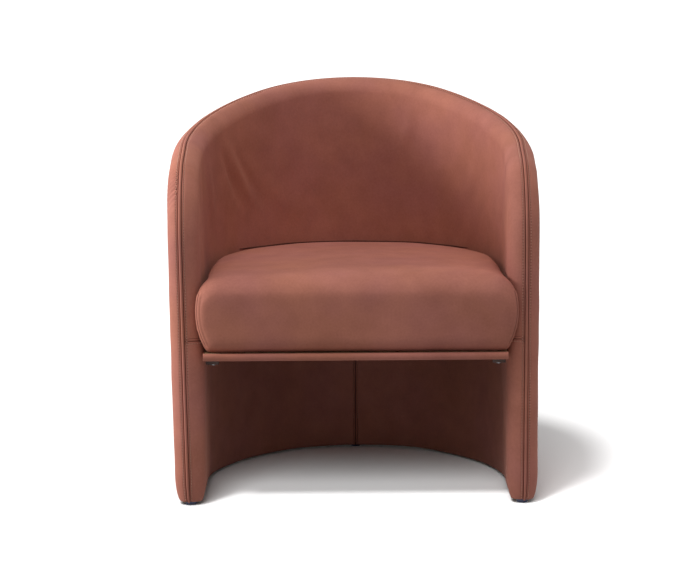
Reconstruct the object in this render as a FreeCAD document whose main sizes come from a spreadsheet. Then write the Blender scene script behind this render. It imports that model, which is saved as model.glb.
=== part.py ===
"""Tub armchair: a leather-covered shell that wraps round a fixed seat and stands on glides.

The shell is a plywood tub with posts and rings, padded on both sides and covered in leather.
The seat is a board with webbing, foam and its own cover, bolted onto cleats in the shell.
Frame: +Z up, the sitter faces -Y, origin on the floor under the middle of the chair.
Lengths are millimetres.
"""

import FreeCAD, Part
import math
import os

import Sketcher

Vector = FreeCAD.Vector

# Driving dimensions: alias, value, meaning.
SIZES = [
    ("shell_width", 706, "outside width of the shell"),
    ("shell_depth", 650, "front of the arms to the back of the shell"),
    ("seat_overhang", 25, "seat front ahead of the arms"),
    ("arm_height", 675, "side view: rim above the centre of the front corner"),
    ("back_height", 801, "side view: rim at the back face, before its edge is rounded"),
    ("front_corner_radius", 155, "side view: arm front into arm top"),
    ("rim_sweep_radius", 8000, "side view: hollow sweep of the rim up to the back"),
    ("straight_length", 200, "plan: straight part of each side"),
    ("back_plan_radius", 285, "plan: outside radius of the back"),
    ("wall_thickness", 60, "padded wall, leather to leather"),
    ("rim_radius", 28, "rounding of the padded rim"),
    ("base_radius", 24, "rounding of the padded lower edge"),
    ("floor_gap", 8, "shell underside above the floor"),
    ("leather_thickness", 1.5, "all covers"),
    ("outer_padding_thickness", 8.5, "sheet foam outside the plywood"),
    ("ply_thickness", 15, "formed plywood panels"),
    ("rim_depth", 14, "plywood edge below the finished rim"),
    ("base_ring_thickness", 18, "plywood ring under the panels"),
    ("seat_ring_height", 30, "plywood ring inside the wall at seat level"),
    ("post_padding", 15, "front posts to the inner face of the wall"),
    ("post_depth", 30, "front posts, front to back"),
    ("batten_width", 40, "battens over the panel joints"),
    ("batten_thickness", 15, "battens over the panel joints"),
    ("batten_rim_gap", 60, "batten top below the arm top"),
    ("seam_inset", 21, "rim seam from the outer face"),
    ("welt_width", 6, "strip sewn into the rim seam"),
    ("welt_height", 1.2, "strip standing proud of the covers"),
    ("cover_seam_rise", 35, "seat board to the joint of the back cover and the lower covers"),
    ("seat_height", 456, "crown of the seat"),
    ("seat_board_height", 290, "underside of the seat board"),
    ("seat_board_thickness", 12, "plywood board"),
    ("seat_board_border", 55, "board around its webbed opening"),
    ("seat_side_swell", 28, "seat front over the rolled inner edge of each arm"),
    ("seat_front_radius", 42, "rolled front edge of the seat"),
    ("seat_bottom_radius", 20, "lower front edge of the seat"),
    ("seat_crown_drop", 14, "crown to the sides of the seat"),
    ("seat_fall", 12, "crown to the back of the seat"),
    ("seat_corner_radius", 45, "upper side edges of the seat"),
    ("seat_bulge_height", 82, "widest part of the seat side above its lower edge"),
    ("seat_bulge", 31, "swell of the seat side over its lower edge"),
    ("seat_hem", 25, "seat cover turned under the foam"),
    ("gusset_width", 9, "side panels of the seat cover, seen from the front"),
    ("topper_thickness", 22, "soft foam over the seat block"),
    ("seat_clearance", 0.3, "seat to shell"),
    ("topper_side", 6, "soft foam down the sides of the seat block"),
    ("lip_turn", 20, "leather on the board's front edge, turned under it"),
    ("webbing_width", 50, "elastic straps"),
    ("webbing_thickness", 2, "elastic straps"),
    ("webbing_gap", 28, "between straps"),
    ("dust_cover_thickness", 0.8, "cloth under the seat"),
    ("cleat_width", 25, "beech cleats under the seat board"),
    ("cleat_height", 20, "beech cleats under the seat board"),
    ("cleat_start", 60, "arm front to the side cleats"),
    ("cleat_end_gap", 10, "side cleats to the start of the curve"),
    ("back_cleat_length", 220, "back cleat, across"),
    ("screw_diameter", 4.5, "wood screws"),
    ("screw_head_diameter", 9, "wood screws"),
    ("cleat_screw_length", 48, "screws through the cleats"),
    ("cleat_screw_end", 44, "screws from the ends of a side cleat"),
    ("back_screw_spacing", 110, "screw to screw on the back cleat"),
    ("screw_recess", 1, "glide screw heads above the floor"),
    ("bolt_diameter", 6, "seat bolts"),
    ("bolt_head_diameter", 11, "seat bolts"),
    ("bolt_head_height", 3.5, "seat bolts"),
    ("bolt_end", 20, "bolts from the ends of a side cleat"),
    ("insert_diameter", 10, "threaded inserts in the seat board"),
    ("insert_length", 10, "threaded inserts in the seat board"),
    ("glide_diameter", 24, "plastic glides"),
    ("glide_foot_diameter", 17, "flat underside of a glide"),
    ("glide_flank", 3, "upright edge of a glide"),
    ("glide_clearance", 0.5, "glides to the covers"),
    ("glide_screw_length", 22, "screws through the glides"),
    ("front_glide_setback", 26, "arm front to the front glides"),
    ("side_glide_setback", 360, "arm front to the side glides"),
]

STRAPS_LENGTHWISE = 5
STRAPS_CROSSWISE = 5
# Construction solids reach this far past what they trim.
REACH = 40.0

doc = FreeCAD.newDocument("TubArmchair")
sheet = doc.addObject("Spreadsheet::Sheet", "Sizes")
for row, (alias, value, meaning) in enumerate(SIZES, start=1):
    sheet.set("A%d" % row, alias)
    sheet.set("B%d" % row, str(value))
    sheet.set("C%d" % row, meaning)
    sheet.setAlias("B%d" % row, alias)
doc.recompute()


class Size:
    """A length, with the sheet expression that it comes from."""

    def __init__(self, number, text):
        self.number = number
        self.text = text

    def __add__(self, other):
        other = as_size(other)
        return Size(self.number + other.number, "(%s + %s)" % (self.text, other.text))

    def __sub__(self, other):
        other = as_size(other)
        return Size(self.number - other.number, "(%s - %s)" % (self.text, other.text))

    def __mul__(self, other):
        other = as_size(other)
        return Size(self.number * other.number, "(%s * %s)" % (self.text, other.text))

    def __truediv__(self, other):
        other = as_size(other)
        return Size(self.number / other.number, "(%s / %s)" % (self.text, other.text))

    def __radd__(self, other):
        return as_size(other) + self

    def __rsub__(self, other):
        return as_size(other) - self

    def __rmul__(self, other):
        return as_size(other) * self

    def __neg__(self):
        return 0 - self


def as_size(value):
    """A plain number as a Size."""
    return value if isinstance(value, Size) else Size(float(value), repr(float(value)))


def size(alias):
    """The driving dimension of that name."""
    return Size(float(sheet.get(alias)), "Sizes." + alias)


def root(length):
    """The square root of a value."""
    return Size(math.sqrt(length.number), "sqrt(%s)" % length.text)


def smaller(first, second):
    """The lesser of two lengths."""
    return Size(min(first.number, second.number), "min(%s; %s)" % (first.text, second.text))


def bind(thing, prop, length):
    """Ties a property of a document object to the sheet."""
    length = as_size(length)
    setattr(thing, prop, length.number)
    thing.setExpression(prop, length.text)


# Values worked out from the driving dimensions.
half_width = size("shell_width") / 2
leather = size("leather_thickness")
wall = size("wall_thickness")
base_level = size("floor_gap")
front_line = (size("seat_overhang") - size("shell_depth")) / 2
back_centre = size("shell_depth") - size("back_plan_radius")
seat_front_half = half_width - wall + size("seat_side_swell")
rim_run = size("shell_depth") - size("front_corner_radius")
rim_rise = size("back_height") - size("arm_height")
rim_chord = root(rim_run * rim_run + rim_rise * rim_rise)
sweep_height = root(size("rim_sweep_radius") * size("rim_sweep_radius") - rim_chord * rim_chord / 4)
sweep_lead = sweep_height * rim_rise / rim_chord - rim_run / 2
sweep_level = size("arm_height") + rim_rise / 2 + sweep_height * rim_run / rim_chord
ply_out = leather + size("outer_padding_thickness")
ply_in = ply_out + size("ply_thickness")
frame_level = base_level + leather
panel_level = frame_level + size("base_ring_thickness")
seat_ring_level = size("seat_board_height") - size("seat_ring_height") - 2 * leather
seat_side = wall + size("seat_clearance")
board_top = size("seat_board_height") + size("seat_board_thickness")
cleat_level = size("seat_board_height") - size("cleat_height")
glide_inset = wall / 2
half_slot = size("glide_diameter") / 2 + size("glide_clearance")
panel_joint = size("straight_length") - size("batten_width") / 2
rim_radius = smaller(size("rim_radius"), wall / 2 - leather)
base_radius = smaller(size("base_radius"), wall / 2 - leather)
cleat_length = size("straight_length") - size("cleat_start") - size("cleat_end_gap")
welt_start = size("seam_inset") - size("welt_width") / 2
welt_end = size("seam_inset") + size("welt_width") / 2

pieces = []


def piece(thing, label):
    """Marks a document object as a sub-part of the chair."""
    thing.Label = label
    pieces.append(thing)
    return thing


def new_body(name):
    return doc.addObject("PartDesign::Body", name)


def new_sketch(body, name, plane, across=0.0, up=0.0):
    """A sketch on an origin plane of its body.

    Plan sketches (XY) count y from the front of the arms and stand at height up.
    Side sketches (YZ) count x from the front of the arms.
    """
    sketch = body.newObject("Sketcher::SketchObject", name)
    origin = next(f for f in body.Origin.OriginFeatures if f.Role == plane)
    sketch.AttachmentSupport = [(origin, "")]
    sketch.MapMode = "FlatFace"
    across, up = as_size(across), as_size(up)
    shift = {"XY_Plane": (across, front_line, up), "YZ_Plane": (front_line, up, across)}[plane]
    sketch.AttachmentOffset = FreeCAD.Placement(
        Vector(*[part.number for part in shift]), FreeCAD.Rotation()
    )
    for axis, part in zip("xyz", shift):
        sketch.setExpression("AttachmentOffset.Base." + axis, part.text)
    return sketch


def fix(sketch, length, kind, *where):
    """A dimension in a sketch, tied to the sheet."""
    length = as_size(length)
    index = sketch.addConstraint(Sketcher.Constraint(kind, *where, length.number))
    sketch.setExpression("Constraints[%d]" % index, length.text)


def constrain(sketch, kind, *where):
    sketch.addConstraint(Sketcher.Constraint(kind, *where))


ORIGIN = (-1, 1)
Y_AXIS = -2


def line(sketch, start, end):
    return sketch.addGeometry(Part.LineSegment(Vector(*start, 0), Vector(*end, 0)))


def arc(sketch, centre, radius, start_angle, end_angle):
    circle = Part.Circle(Vector(*centre, 0), Vector(0, 0, 1), radius)
    return sketch.addGeometry(Part.ArcOfCircle(circle, start_angle, end_angle))


def side_arc(inset):
    """Centre x, radius and sweep of the plan's side arc, tangent to the side and to the back."""
    a, back, middle = half_width.number, size("back_plan_radius").number, back_centre.number
    run = middle - size("straight_length").number
    radius = (a * a + run * run - back * back) / (2 * (a - back))
    return a - radius, radius - inset, math.atan2(run, radius - a)


def draw_plan(sketch, inset, front):
    """The shell's open plan line, moved inwards by inset: side, arc, back, arc, side.

    front counts from the arm fronts. Returns the geometry in order, from right to left.
    """
    inset, front = as_size(inset), as_size(front)
    a, y0, y1 = (half_width - inset).number, front.number, size("straight_length").number
    centre, radius, sweep = side_arc(inset.number)
    middle, back = (0, back_centre.number), (size("back_plan_radius") - inset).number
    right = line(sketch, (a, y0), (a, y1))
    arc_right = arc(sketch, (centre, y1), radius, 0, sweep)
    arc_back = arc(sketch, middle, back, sweep, math.pi - sweep)
    arc_left = arc(sketch, (-centre, y1), radius, math.pi - sweep, math.pi)
    left = line(sketch, (-a, y1), (-a, y0))
    chain = [right, arc_right, arc_back, arc_left, left]
    for first, second in zip(chain, chain[1:]):
        constrain(sketch, "Tangent", first, 2, second, 1)
    constrain(sketch, "Vertical", right)
    constrain(sketch, "Vertical", left)
    constrain(sketch, "PointOnObject", arc_back, 3, Y_AXIS)
    constrain(sketch, "Symmetric", right, 1, left, 2, Y_AXIS)
    constrain(sketch, "Equal", right, left)
    fix(sketch, half_width - inset, "DistanceX", *ORIGIN, right, 2)
    fix(sketch, size("straight_length"), "DistanceY", *ORIGIN, right, 2)
    fix(sketch, size("straight_length") - front, "DistanceY", right, 1, right, 2)
    fix(sketch, back_centre, "DistanceY", *ORIGIN, arc_back, 3)
    fix(sketch, size("back_plan_radius") - inset, "Radius", arc_back)
    return chain


def join_ends(sketch, first, first_end, second, second_end):
    """A straight line between two free ends."""
    start, end = sketch.getPoint(first, first_end), sketch.getPoint(second, second_end)
    closing = line(sketch, (start.x, start.y), (end.x, end.y))
    constrain(sketch, "Coincident", closing, 1, first, first_end)
    constrain(sketch, "Coincident", closing, 2, second, second_end)


def draw_band(sketch, outer, inner, front):
    """A U-shaped band between two insets of the plan line."""
    outside = draw_plan(sketch, outer, front)
    inside = draw_plan(sketch, inner, front)
    join_ends(sketch, outside[0], 1, inside[0], 1)
    join_ends(sketch, outside[-1], 2, inside[-1], 2)


def draw_tray(sketch, inset, front):
    """The plan line closed straight across the front."""
    chain = draw_plan(sketch, inset, front)
    join_ends(sketch, chain[-1], 2, chain[0], 1)


def draw_rectangle(sketch, x0, x1, y0, y1):
    """A rectangle whose corners count from the sketch origin."""
    x0, x1, y0, y1 = (as_size(v) for v in (x0, x1, y0, y1))
    corners = [(x0, y0), (x1, y0), (x1, y1), (x0, y1)]
    points = [(x.number, y.number) for x, y in corners]
    sides = [line(sketch, a, b) for a, b in zip(points, points[1:] + points[:1])]
    for first, second in zip(sides, sides[1:] + sides[:1]):
        constrain(sketch, "Coincident", first, 2, second, 1)
    for side in (0, 2):
        constrain(sketch, "Horizontal", sides[side])
        constrain(sketch, "Vertical", sides[side + 1])
    fix(sketch, x0, "DistanceX", *ORIGIN, sides[0], 1)
    fix(sketch, y0, "DistanceY", *ORIGIN, sides[0], 1)
    fix(sketch, x1 - x0, "DistanceX", sides[0], 1, sides[0], 2)
    fix(sketch, y1 - y0, "DistanceY", sides[1], 1, sides[1], 2)


def pad(body, sketch, length):
    feature = body.newObject("PartDesign::Pad", "Pad")
    feature.Profile = sketch
    bind(feature, "Length", length)
    sketch.Visibility = False
    return feature


def trim_to_rim(body, inset):
    """Cuts a padded plan to the side view: arm front, corner, and the sweep up to the back."""
    inset = as_size(inset)
    sketch = new_sketch(body, "RimProfile", "YZ_Plane")
    corner, sweep = size("front_corner_radius"), size("rim_sweep_radius")
    low, high = -REACH, (size("back_height") + 2 * REACH).number
    far = (size("shell_depth") + 2 * REACH).number
    sweep_centre = ((corner - sweep_lead).number, sweep_level.number)
    reach = (corner + sweep).number
    lean = math.asin(sweep_lead.number / reach)
    corner_centre = (corner.number, sweep_level.number - reach * math.cos(lean))
    sweep_number = (sweep + inset).number
    end_angle = -math.acos((far - sweep_centre[0]) / sweep_number)
    end = (far, sweep_centre[1] + sweep_number * math.sin(end_angle))
    front = line(sketch, (inset.number, low), (inset.number, corner_centre[1]))
    bend = arc(sketch, corner_centre, (corner - inset).number, math.pi / 2 + lean, math.pi)
    rise = arc(sketch, sweep_centre, sweep_number, lean - math.pi / 2, end_angle)
    border = [end, (far, high), (-REACH, high), (-REACH, low), (inset.number, low)]
    sides = [line(sketch, a, b) for a, b in zip(border, border[1:])]
    constrain(sketch, "Tangent", front, 2, bend, 2)
    constrain(sketch, "Tangent", bend, 1, rise, 1)
    for first, second in zip([rise] + sides, sides + [front]):
        constrain(sketch, "Coincident", first, 2, second, 1)
    constrain(sketch, "Vertical", front)
    for side in (0, 2):
        constrain(sketch, "Vertical", sides[side])
        constrain(sketch, "Horizontal", sides[side + 1])
    fix(sketch, corner, "DistanceX", *ORIGIN, bend, 3)
    fix(sketch, corner - inset, "Radius", bend)
    fix(sketch, sweep + inset, "Radius", rise)
    fix(sketch, sweep_lead, "DistanceX", rise, 3, bend, 3)
    fix(sketch, sweep_level, "DistanceY", *ORIGIN, rise, 3)
    fix(sketch, size("shell_depth") + 2 * REACH, "DistanceX", *ORIGIN, sides[0], 1)
    fix(sketch, size("back_height") + 2 * REACH, "DistanceY", *ORIGIN, sides[0], 2)
    fix(sketch, REACH, "DistanceX", sides[2], 1, *ORIGIN)
    fix(sketch, REACH, "DistanceY", sides[2], 2, *ORIGIN)
    pocket = body.newObject("PartDesign::Pocket", "RimCut")
    pocket.Profile = sketch
    pocket.Type = "ThroughAll"
    pocket.Midplane = True
    sketch.Visibility = False
    doc.recompute()
    return pocket


def edge_names(shape, wanted):
    """Names of the edges of a shape that a test accepts."""
    return ["Edge%d" % n for n, edge in enumerate(shape.Edges, start=1) if wanted(edge)]


def round_edges(body, feature, names, radius):
    fillet = body.newObject("PartDesign::Fillet", "Rounding")
    fillet.Base = (feature, names)
    bind(fillet, "Radius", radius)
    doc.recompute()
    return fillet


def is_corner(shape, edge):
    """True where the two faces at an edge meet at more than a slight angle."""
    point = edge.valueAt((edge.FirstParameter + edge.LastParameter) / 2)
    faces = shape.ancestorsOfType(edge, Part.Face)
    normals = [face.normalAt(*face.Surface.parameter(point)) for face in faces]
    return len(normals) == 2 and normals[0].getAngle(normals[1]) > math.radians(20)


def shell_band(name, outer, inner, front, bottom, height):
    """A body with one upright U-shaped band."""
    body = new_body(name)
    sketch = new_sketch(body, "Plan", "XY_Plane", up=bottom)
    draw_band(sketch, outer, inner, front)
    return body, pad(body, sketch, height)


def padded_wall(name, inset):
    """The finished shape of the padded shell, drawn in by inset on every side."""
    inset = as_size(inset)
    bottom = base_level + inset
    height = size("back_height") + REACH - bottom
    body, _ = shell_band(name, inset, wall - inset, -REACH, bottom, height)
    cut = trim_to_rim(body, inset)
    low = bottom.number + 0.01
    rim = edge_names(cut.Shape, lambda e: e.BoundBox.ZMax > low and is_corner(cut.Shape, e))
    rounded = round_edges(body, cut, rim, rim_radius - inset)
    foot = edge_names(rounded.Shape, lambda e: e.BoundBox.ZMax < low)
    round_edges(body, rounded, foot, base_radius - inset)
    return body


def cut(name, base, tool):
    result = doc.addObject("Part::Cut", name)
    result.Base, result.Tool = base, tool
    return result


def common(name, *shapes):
    result = doc.addObject("Part::MultiCommon", name)
    result.Shapes = list(shapes)
    return result


def compound(name, things):
    result = doc.addObject("Part::Compound", name)
    result.Links = list(things)
    return result


def block(name, low, high):
    """A box between two corners, for splitting pieces."""
    box = doc.addObject("Part::Box", name)
    low, high = [as_size(v) for v in low], [as_size(v) for v in high]
    box.Placement.Base = Vector(*[v.number for v in low])
    for axis, prop, a, b in zip("xyz", ("Length", "Width", "Height"), low, high):
        bind(box, prop, b - a)
        box.setExpression("Placement.Base." + axis, a.text)
    return box


# Padded shell: finished skin, inside of the leather, and the skin with clearance for the seat.
skin = padded_wall("ShellSkin", 0)
stuffing = padded_wall("ShellStuffing", leather)
welt_skin = padded_wall("ShellWeltSkin", -size("welt_height"))
seat_hollow = padded_wall("SeatHollow", -size("seat_clearance"))
seat_cover_hollow = padded_wall("SeatCoverHollow", -(size("seat_clearance") + leather))

# Plywood base ring: the panels stand on it and the glides are screwed into its rounded underside.
base_ring_body, _ = shell_band(
    "BaseRingBody", ply_out, wall - ply_out, size("rim_depth"),
    frame_level, size("base_ring_thickness"),
)

# Plywood ring inside the wall at seat level: it stiffens the panels and takes the cleat screws.
post_back = size("rim_depth") + size("post_depth")
seat_ring_body, _ = shell_band(
    "SeatRingBody", ply_in, wall - leather, post_back, seat_ring_level, size("seat_ring_height")
)

# Beech front posts: they stand on the base ring and carry the arm fronts.
post_top = size("arm_height") - size("front_corner_radius")


def front_post(name, side):
    body = new_body(name)
    sketch = new_sketch(body, "Plan", "XY_Plane", up=panel_level)
    outside = half_width - ply_out
    edges = (half_width - wall + size("post_padding"), outside)
    x0, x1 = edges if side > 0 else (-edges[1], -edges[0])
    draw_rectangle(sketch, x0, x1, size("rim_depth"), post_back)
    pad(body, sketch, post_top - panel_level)
    return body


posts = [front_post("FrontPostLeft", -1), front_post("FrontPostRight", 1)]


# Side panels: flat plywood from the post to the panel joint, cut to the rim.
def side_panel(name, side):
    body = new_body(name)
    sketch = new_sketch(body, "Plan", "XY_Plane", up=panel_level)
    edges = (half_width - ply_in, half_width - ply_out)
    x0, x1 = edges if side > 0 else (-edges[1], -edges[0])
    draw_rectangle(sketch, x0, x1, post_back, panel_joint)
    pad(body, sketch, size("back_height") - panel_level)
    trim_to_rim(body, size("rim_depth"))
    return body


side_panels = [side_panel("SidePanelLeft", -1), side_panel("SidePanelRight", 1)]

# Back panel: formed plywood round the back, cut to the rim.
back_panel, _ = shell_band(
    "BackPanel", ply_out, ply_in, panel_joint, panel_level,
    size("back_height") - panel_level,
)
trim_to_rim(back_panel, size("rim_depth"))


# Beech battens over the panel joints, in two lengths, below and above the seat ring.
def joint_batten(name, side, bottom, top):
    body = new_body(name)
    sketch = new_sketch(body, "Plan", "XY_Plane", up=bottom)
    edges = (half_width - ply_in - size("batten_thickness"), half_width - ply_in)
    x0, x1 = edges if side > 0 else (-edges[1], -edges[0])
    half = size("batten_width") / 2
    draw_rectangle(sketch, x0, x1, panel_joint - half, panel_joint + half)
    pad(body, sketch, top - bottom)
    return body


seat_ring_top = seat_ring_level + size("seat_ring_height")
batten_top = size("arm_height") - size("batten_rim_gap")
battens = {}
for side, hand in ((-1, "left"), (1, "right")):
    lower = joint_batten("LowerBatten" + hand, side, panel_level, seat_ring_level)
    upper = joint_batten("UpperBatten" + hand, side, seat_ring_top, batten_top)
    battens[hand] = [lower, upper]


# Plastic glides, screwed under the base ring through the bare strip between the covers.
def plan_point(setback):
    """Plan point of the glide line at a distance behind the arm fronts, on the right side."""
    inset = glide_inset.number
    straight = size("straight_length").number
    if setback <= straight:
        return half_width.number - inset, setback
    centre, radius, sweep = side_arc(inset)
    angle = math.asin((setback - straight) / radius)
    if angle <= sweep:
        return centre + radius * math.cos(angle), setback
    back = (size("back_plan_radius") - glide_inset).number
    rise = setback - back_centre.number
    return math.sqrt(max(back * back - rise * rise, 0)), setback


front_x, front_y = plan_point(size("front_glide_setback").number)
side_x, side_y = plan_point(size("side_glide_setback").number)
back_y = (size("shell_depth") - glide_inset).number
GLIDE_SPOTS = {
    "glide_front_left": (-front_x, front_y),
    "glide_front_right": (front_x, front_y),
    "glide_side_left": (-side_x, side_y),
    "glide_side_right": (side_x, side_y),
    "glide_back": (0.0, back_y),
}
recess = size("screw_recess")
screw_radius = size("screw_diameter") / 2
screw_head_radius = size("screw_head_diameter") / 2
screw_head_height = screw_head_radius - screw_radius


def make_glide(name, spot):
    """A domed disc with a flat foot and a countersunk hole."""
    body = new_body(name)
    sketch = body.newObject("Sketcher::SketchObject", "Outline")
    upright_plane = next(f for f in body.Origin.OriginFeatures if f.Role == "XZ_Plane")
    sketch.AttachmentSupport = [(upright_plane, "")]
    sketch.MapMode = "FlatFace"
    top, rim, foot = frame_level, size("glide_diameter") / 2, size("glide_foot_diameter") / 2
    shoulder = top - size("glide_flank")
    ring = (screw_head_radius.number, recess.number)
    neck = (screw_radius.number, (screw_head_height + recess).number)
    flank = (rim.number, shoulder.number)
    bore = line(sketch, neck, (neck[0], top.number))
    cap = line(sketch, (neck[0], top.number), (rim.number, top.number))
    edge = line(sketch, (rim.number, top.number), flank)
    taper = (rim - foot).number
    radius = (taper ** 2 + flank[1] ** 2) / (2 * taper)
    dome = arc(sketch, (rim.number - radius, flank[1]), radius, -math.asin(flank[1] / radius), 0)
    sole = line(sketch, (foot.number, 0.0), (ring[0], 0.0))
    sink = line(sketch, (ring[0], 0.0), ring)
    countersink = line(sketch, ring, neck)
    constrain(sketch, "Tangent", edge, 2, dome, 2)
    constrain(sketch, "Coincident", dome, 1, sole, 1)
    chain = [sole, sink, countersink, bore, cap, edge]
    for first, second in zip(chain, chain[1:]):
        constrain(sketch, "Coincident", first, 2, second, 1)
    for upright in (bore, edge, sink):
        constrain(sketch, "Vertical", upright)
    for level in (cap, sole):
        constrain(sketch, "Horizontal", level)
    constrain(sketch, "PointOnObject", sole, 1, -1)
    fix(sketch, screw_radius, "DistanceX", *ORIGIN, bore, 1)
    fix(sketch, screw_head_height + recess, "DistanceY", *ORIGIN, bore, 1)
    fix(sketch, top, "DistanceY", *ORIGIN, bore, 2)
    fix(sketch, rim, "DistanceX", *ORIGIN, edge, 1)
    fix(sketch, size("glide_flank"), "DistanceY", edge, 2, edge, 1)
    fix(sketch, foot, "DistanceX", *ORIGIN, sole, 1)
    fix(sketch, screw_head_radius, "DistanceX", *ORIGIN, sink, 1)
    fix(sketch, recess, "DistanceY", *ORIGIN, sink, 2)
    turn = body.newObject("PartDesign::Revolution", "Turn")
    turn.Profile = sketch
    turn.ReferenceAxis = (sketch, ["V_Axis"])
    turn.Angle = 360
    sketch.Visibility = False
    body.Placement.Base = Vector(spot[0], front_line.number + spot[1], 0)
    return body


def wood_screw(length):
    """A countersunk wood screw along +Z, its head face at z = 0."""
    r, head, h = screw_radius.number, screw_head_radius.number, screw_head_height.number
    tip = length - 2 * r
    outline = [(0, 0), (head, 0), (r, h), (r, tip), (0, length)]
    wire = Part.makePolygon([Vector(x, 0, z) for x, z in outline + outline[:1]])
    return Part.Face(wire).revolve(Vector(0, 0, 0), Vector(0, 0, 1), 360)


def place(shape, spot, direction):
    """A copy of a shape that runs along +Z, moved to a spot and turned along a direction."""
    turn = FreeCAD.Rotation(Vector(0, 0, 1), direction)
    return shape.transformed(FreeCAD.Placement(spot, turn).toMatrix())


def group(name, shapes):
    """Like pieces in one object, each still its own solid."""
    thing = doc.addObject("Part::Feature", name)
    thing.Shape = Part.makeCompound(shapes)
    return thing


glides = {name: make_glide(name.title().replace("_", ""), spot) for name, spot in GLIDE_SPOTS.items()}
glide_screw = wood_screw(size("glide_screw_length").number)
glide_screws = group("GlideScrews", [
    place(glide_screw, Vector(x, front_line.number + y, recess.number), Vector(0, 0, 1))
    for x, y in GLIDE_SPOTS.values()
])
base_ring = cut("BaseRing", common("BaseRingBlank", base_ring_body, stuffing), glide_screws)

# Cleats: beech strips screwed through the lower cover into the seat ring, under the seat board.
cleat_band, _ = shell_band(
    "CleatBand", seat_side, seat_side + size("cleat_width"), size("cleat_start"),
    cleat_level, size("cleat_height"),
)
cleat_end = front_line + size("cleat_start") + cleat_length
floor_low, sky = as_size(-REACH), size("back_height") + 2 * REACH
left_edge, right_edge = -(half_width + REACH), half_width + REACH
front_edge, back_edge = front_line - 2 * REACH, front_line + size("shell_depth") + REACH
back_cleat_half = size("back_cleat_length") / 2
cleat_blanks = {
    "left": common("CleatBlankLeft", cleat_band, block(
        "LeftCleatSpan", (left_edge, front_edge, floor_low), (0, cleat_end, sky))),
    "right": common("CleatBlankRight", cleat_band, block(
        "RightCleatSpan", (0, front_edge, floor_low), (right_edge, cleat_end, sky))),
    "back": common("CleatBlankBack", cleat_band, block(
        "BackCleatSpan", (-back_cleat_half, cleat_end, floor_low), (back_cleat_half, back_edge, sky))),
}

# Cleat screws run sideways into the seat ring, and seat bolts upwards into the seat board.
cleat_middle = (front_line + size("cleat_start") + cleat_length / 2).number
cleat_face = (half_width - seat_side - size("cleat_width")).number
cleat_axis = (half_width - seat_side - size("cleat_width") / 2).number
screw_height = (cleat_level + size("cleat_height") / 2).number
back_face_radius = (size("back_plan_radius") - seat_side - size("cleat_width")).number
back_axis_radius = (size("back_plan_radius") - seat_side - size("cleat_width") / 2).number
back_middle = (front_line + back_centre).number
half_screws = (cleat_length / 2 - size("cleat_screw_end")).number
half_bolts = (cleat_length / 2 - size("bolt_end")).number
back_screw_turn = math.asin((size("back_screw_spacing") / 2).number / back_face_radius)
cleat_screw = wood_screw(size("cleat_screw_length").number)
cleat_screw_shapes = []
bolt_spots = []
for side in (-1, 1):
    for step in (-1, 1):
        spot = Vector(side * cleat_face, cleat_middle + step * half_screws, screw_height)
        cleat_screw_shapes.append(place(cleat_screw, spot, Vector(side, 0, 0)))
        bolt_spots.append((side * cleat_axis, cleat_middle + step * half_bolts))
    outwards = Vector(side * math.sin(back_screw_turn), math.cos(back_screw_turn), 0)
    spot = Vector(0, back_middle, screw_height) + outwards * back_face_radius
    cleat_screw_shapes.append(place(cleat_screw, spot, outwards))
bolt_spots.append((0.0, back_middle + back_axis_radius))
cleat_screws = group("CleatScrews", cleat_screw_shapes)

bolt_r, bolt_head_r = (size("bolt_diameter") / 2).number, (size("bolt_head_diameter") / 2).number
bolt_head_h, insert_r = size("bolt_head_height").number, (size("insert_diameter") / 2).number
bolt_reach = (size("seat_board_height") + size("insert_length")).number
seat_underside = size("seat_board_height").number


def seat_bolt(spot):
    """A flat-headed bolt from under a cleat into the seat board."""
    head = Part.makeCylinder(bolt_head_r, bolt_head_h, Vector(*spot, cleat_level.number - bolt_head_h))
    shank = Part.makeCylinder(bolt_r, bolt_reach - cleat_level.number, Vector(*spot, cleat_level.number))
    return head.fuse(shank).removeSplitter()


def thread_insert(spot):
    """A threaded bush let into the underside of the seat board."""
    length = size("insert_length").number
    bush = Part.makeCylinder(insert_r, length, Vector(*spot, seat_underside))
    return bush.cut(Part.makeCylinder(bolt_r, length, Vector(*spot, seat_underside)))


seat_bolts = group("SeatBolts", [seat_bolt(spot) for spot in bolt_spots])
seat_inserts = group("SeatInserts", [thread_insert(spot) for spot in bolt_spots])
insert_pockets = group("InsertPockets", [
    Part.makeCylinder(insert_r, size("insert_length").number, Vector(*spot, seat_underside))
    for spot in bolt_spots
])
fixings = compound("CleatFixings", [cleat_screws, seat_bolts])
cleats = {hand: cut("Cleat" + hand, blank, fixings) for hand, blank in cleat_blanks.items()}
seat_ring = cut("SeatRing", seat_ring_body, cleat_screws)

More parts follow.
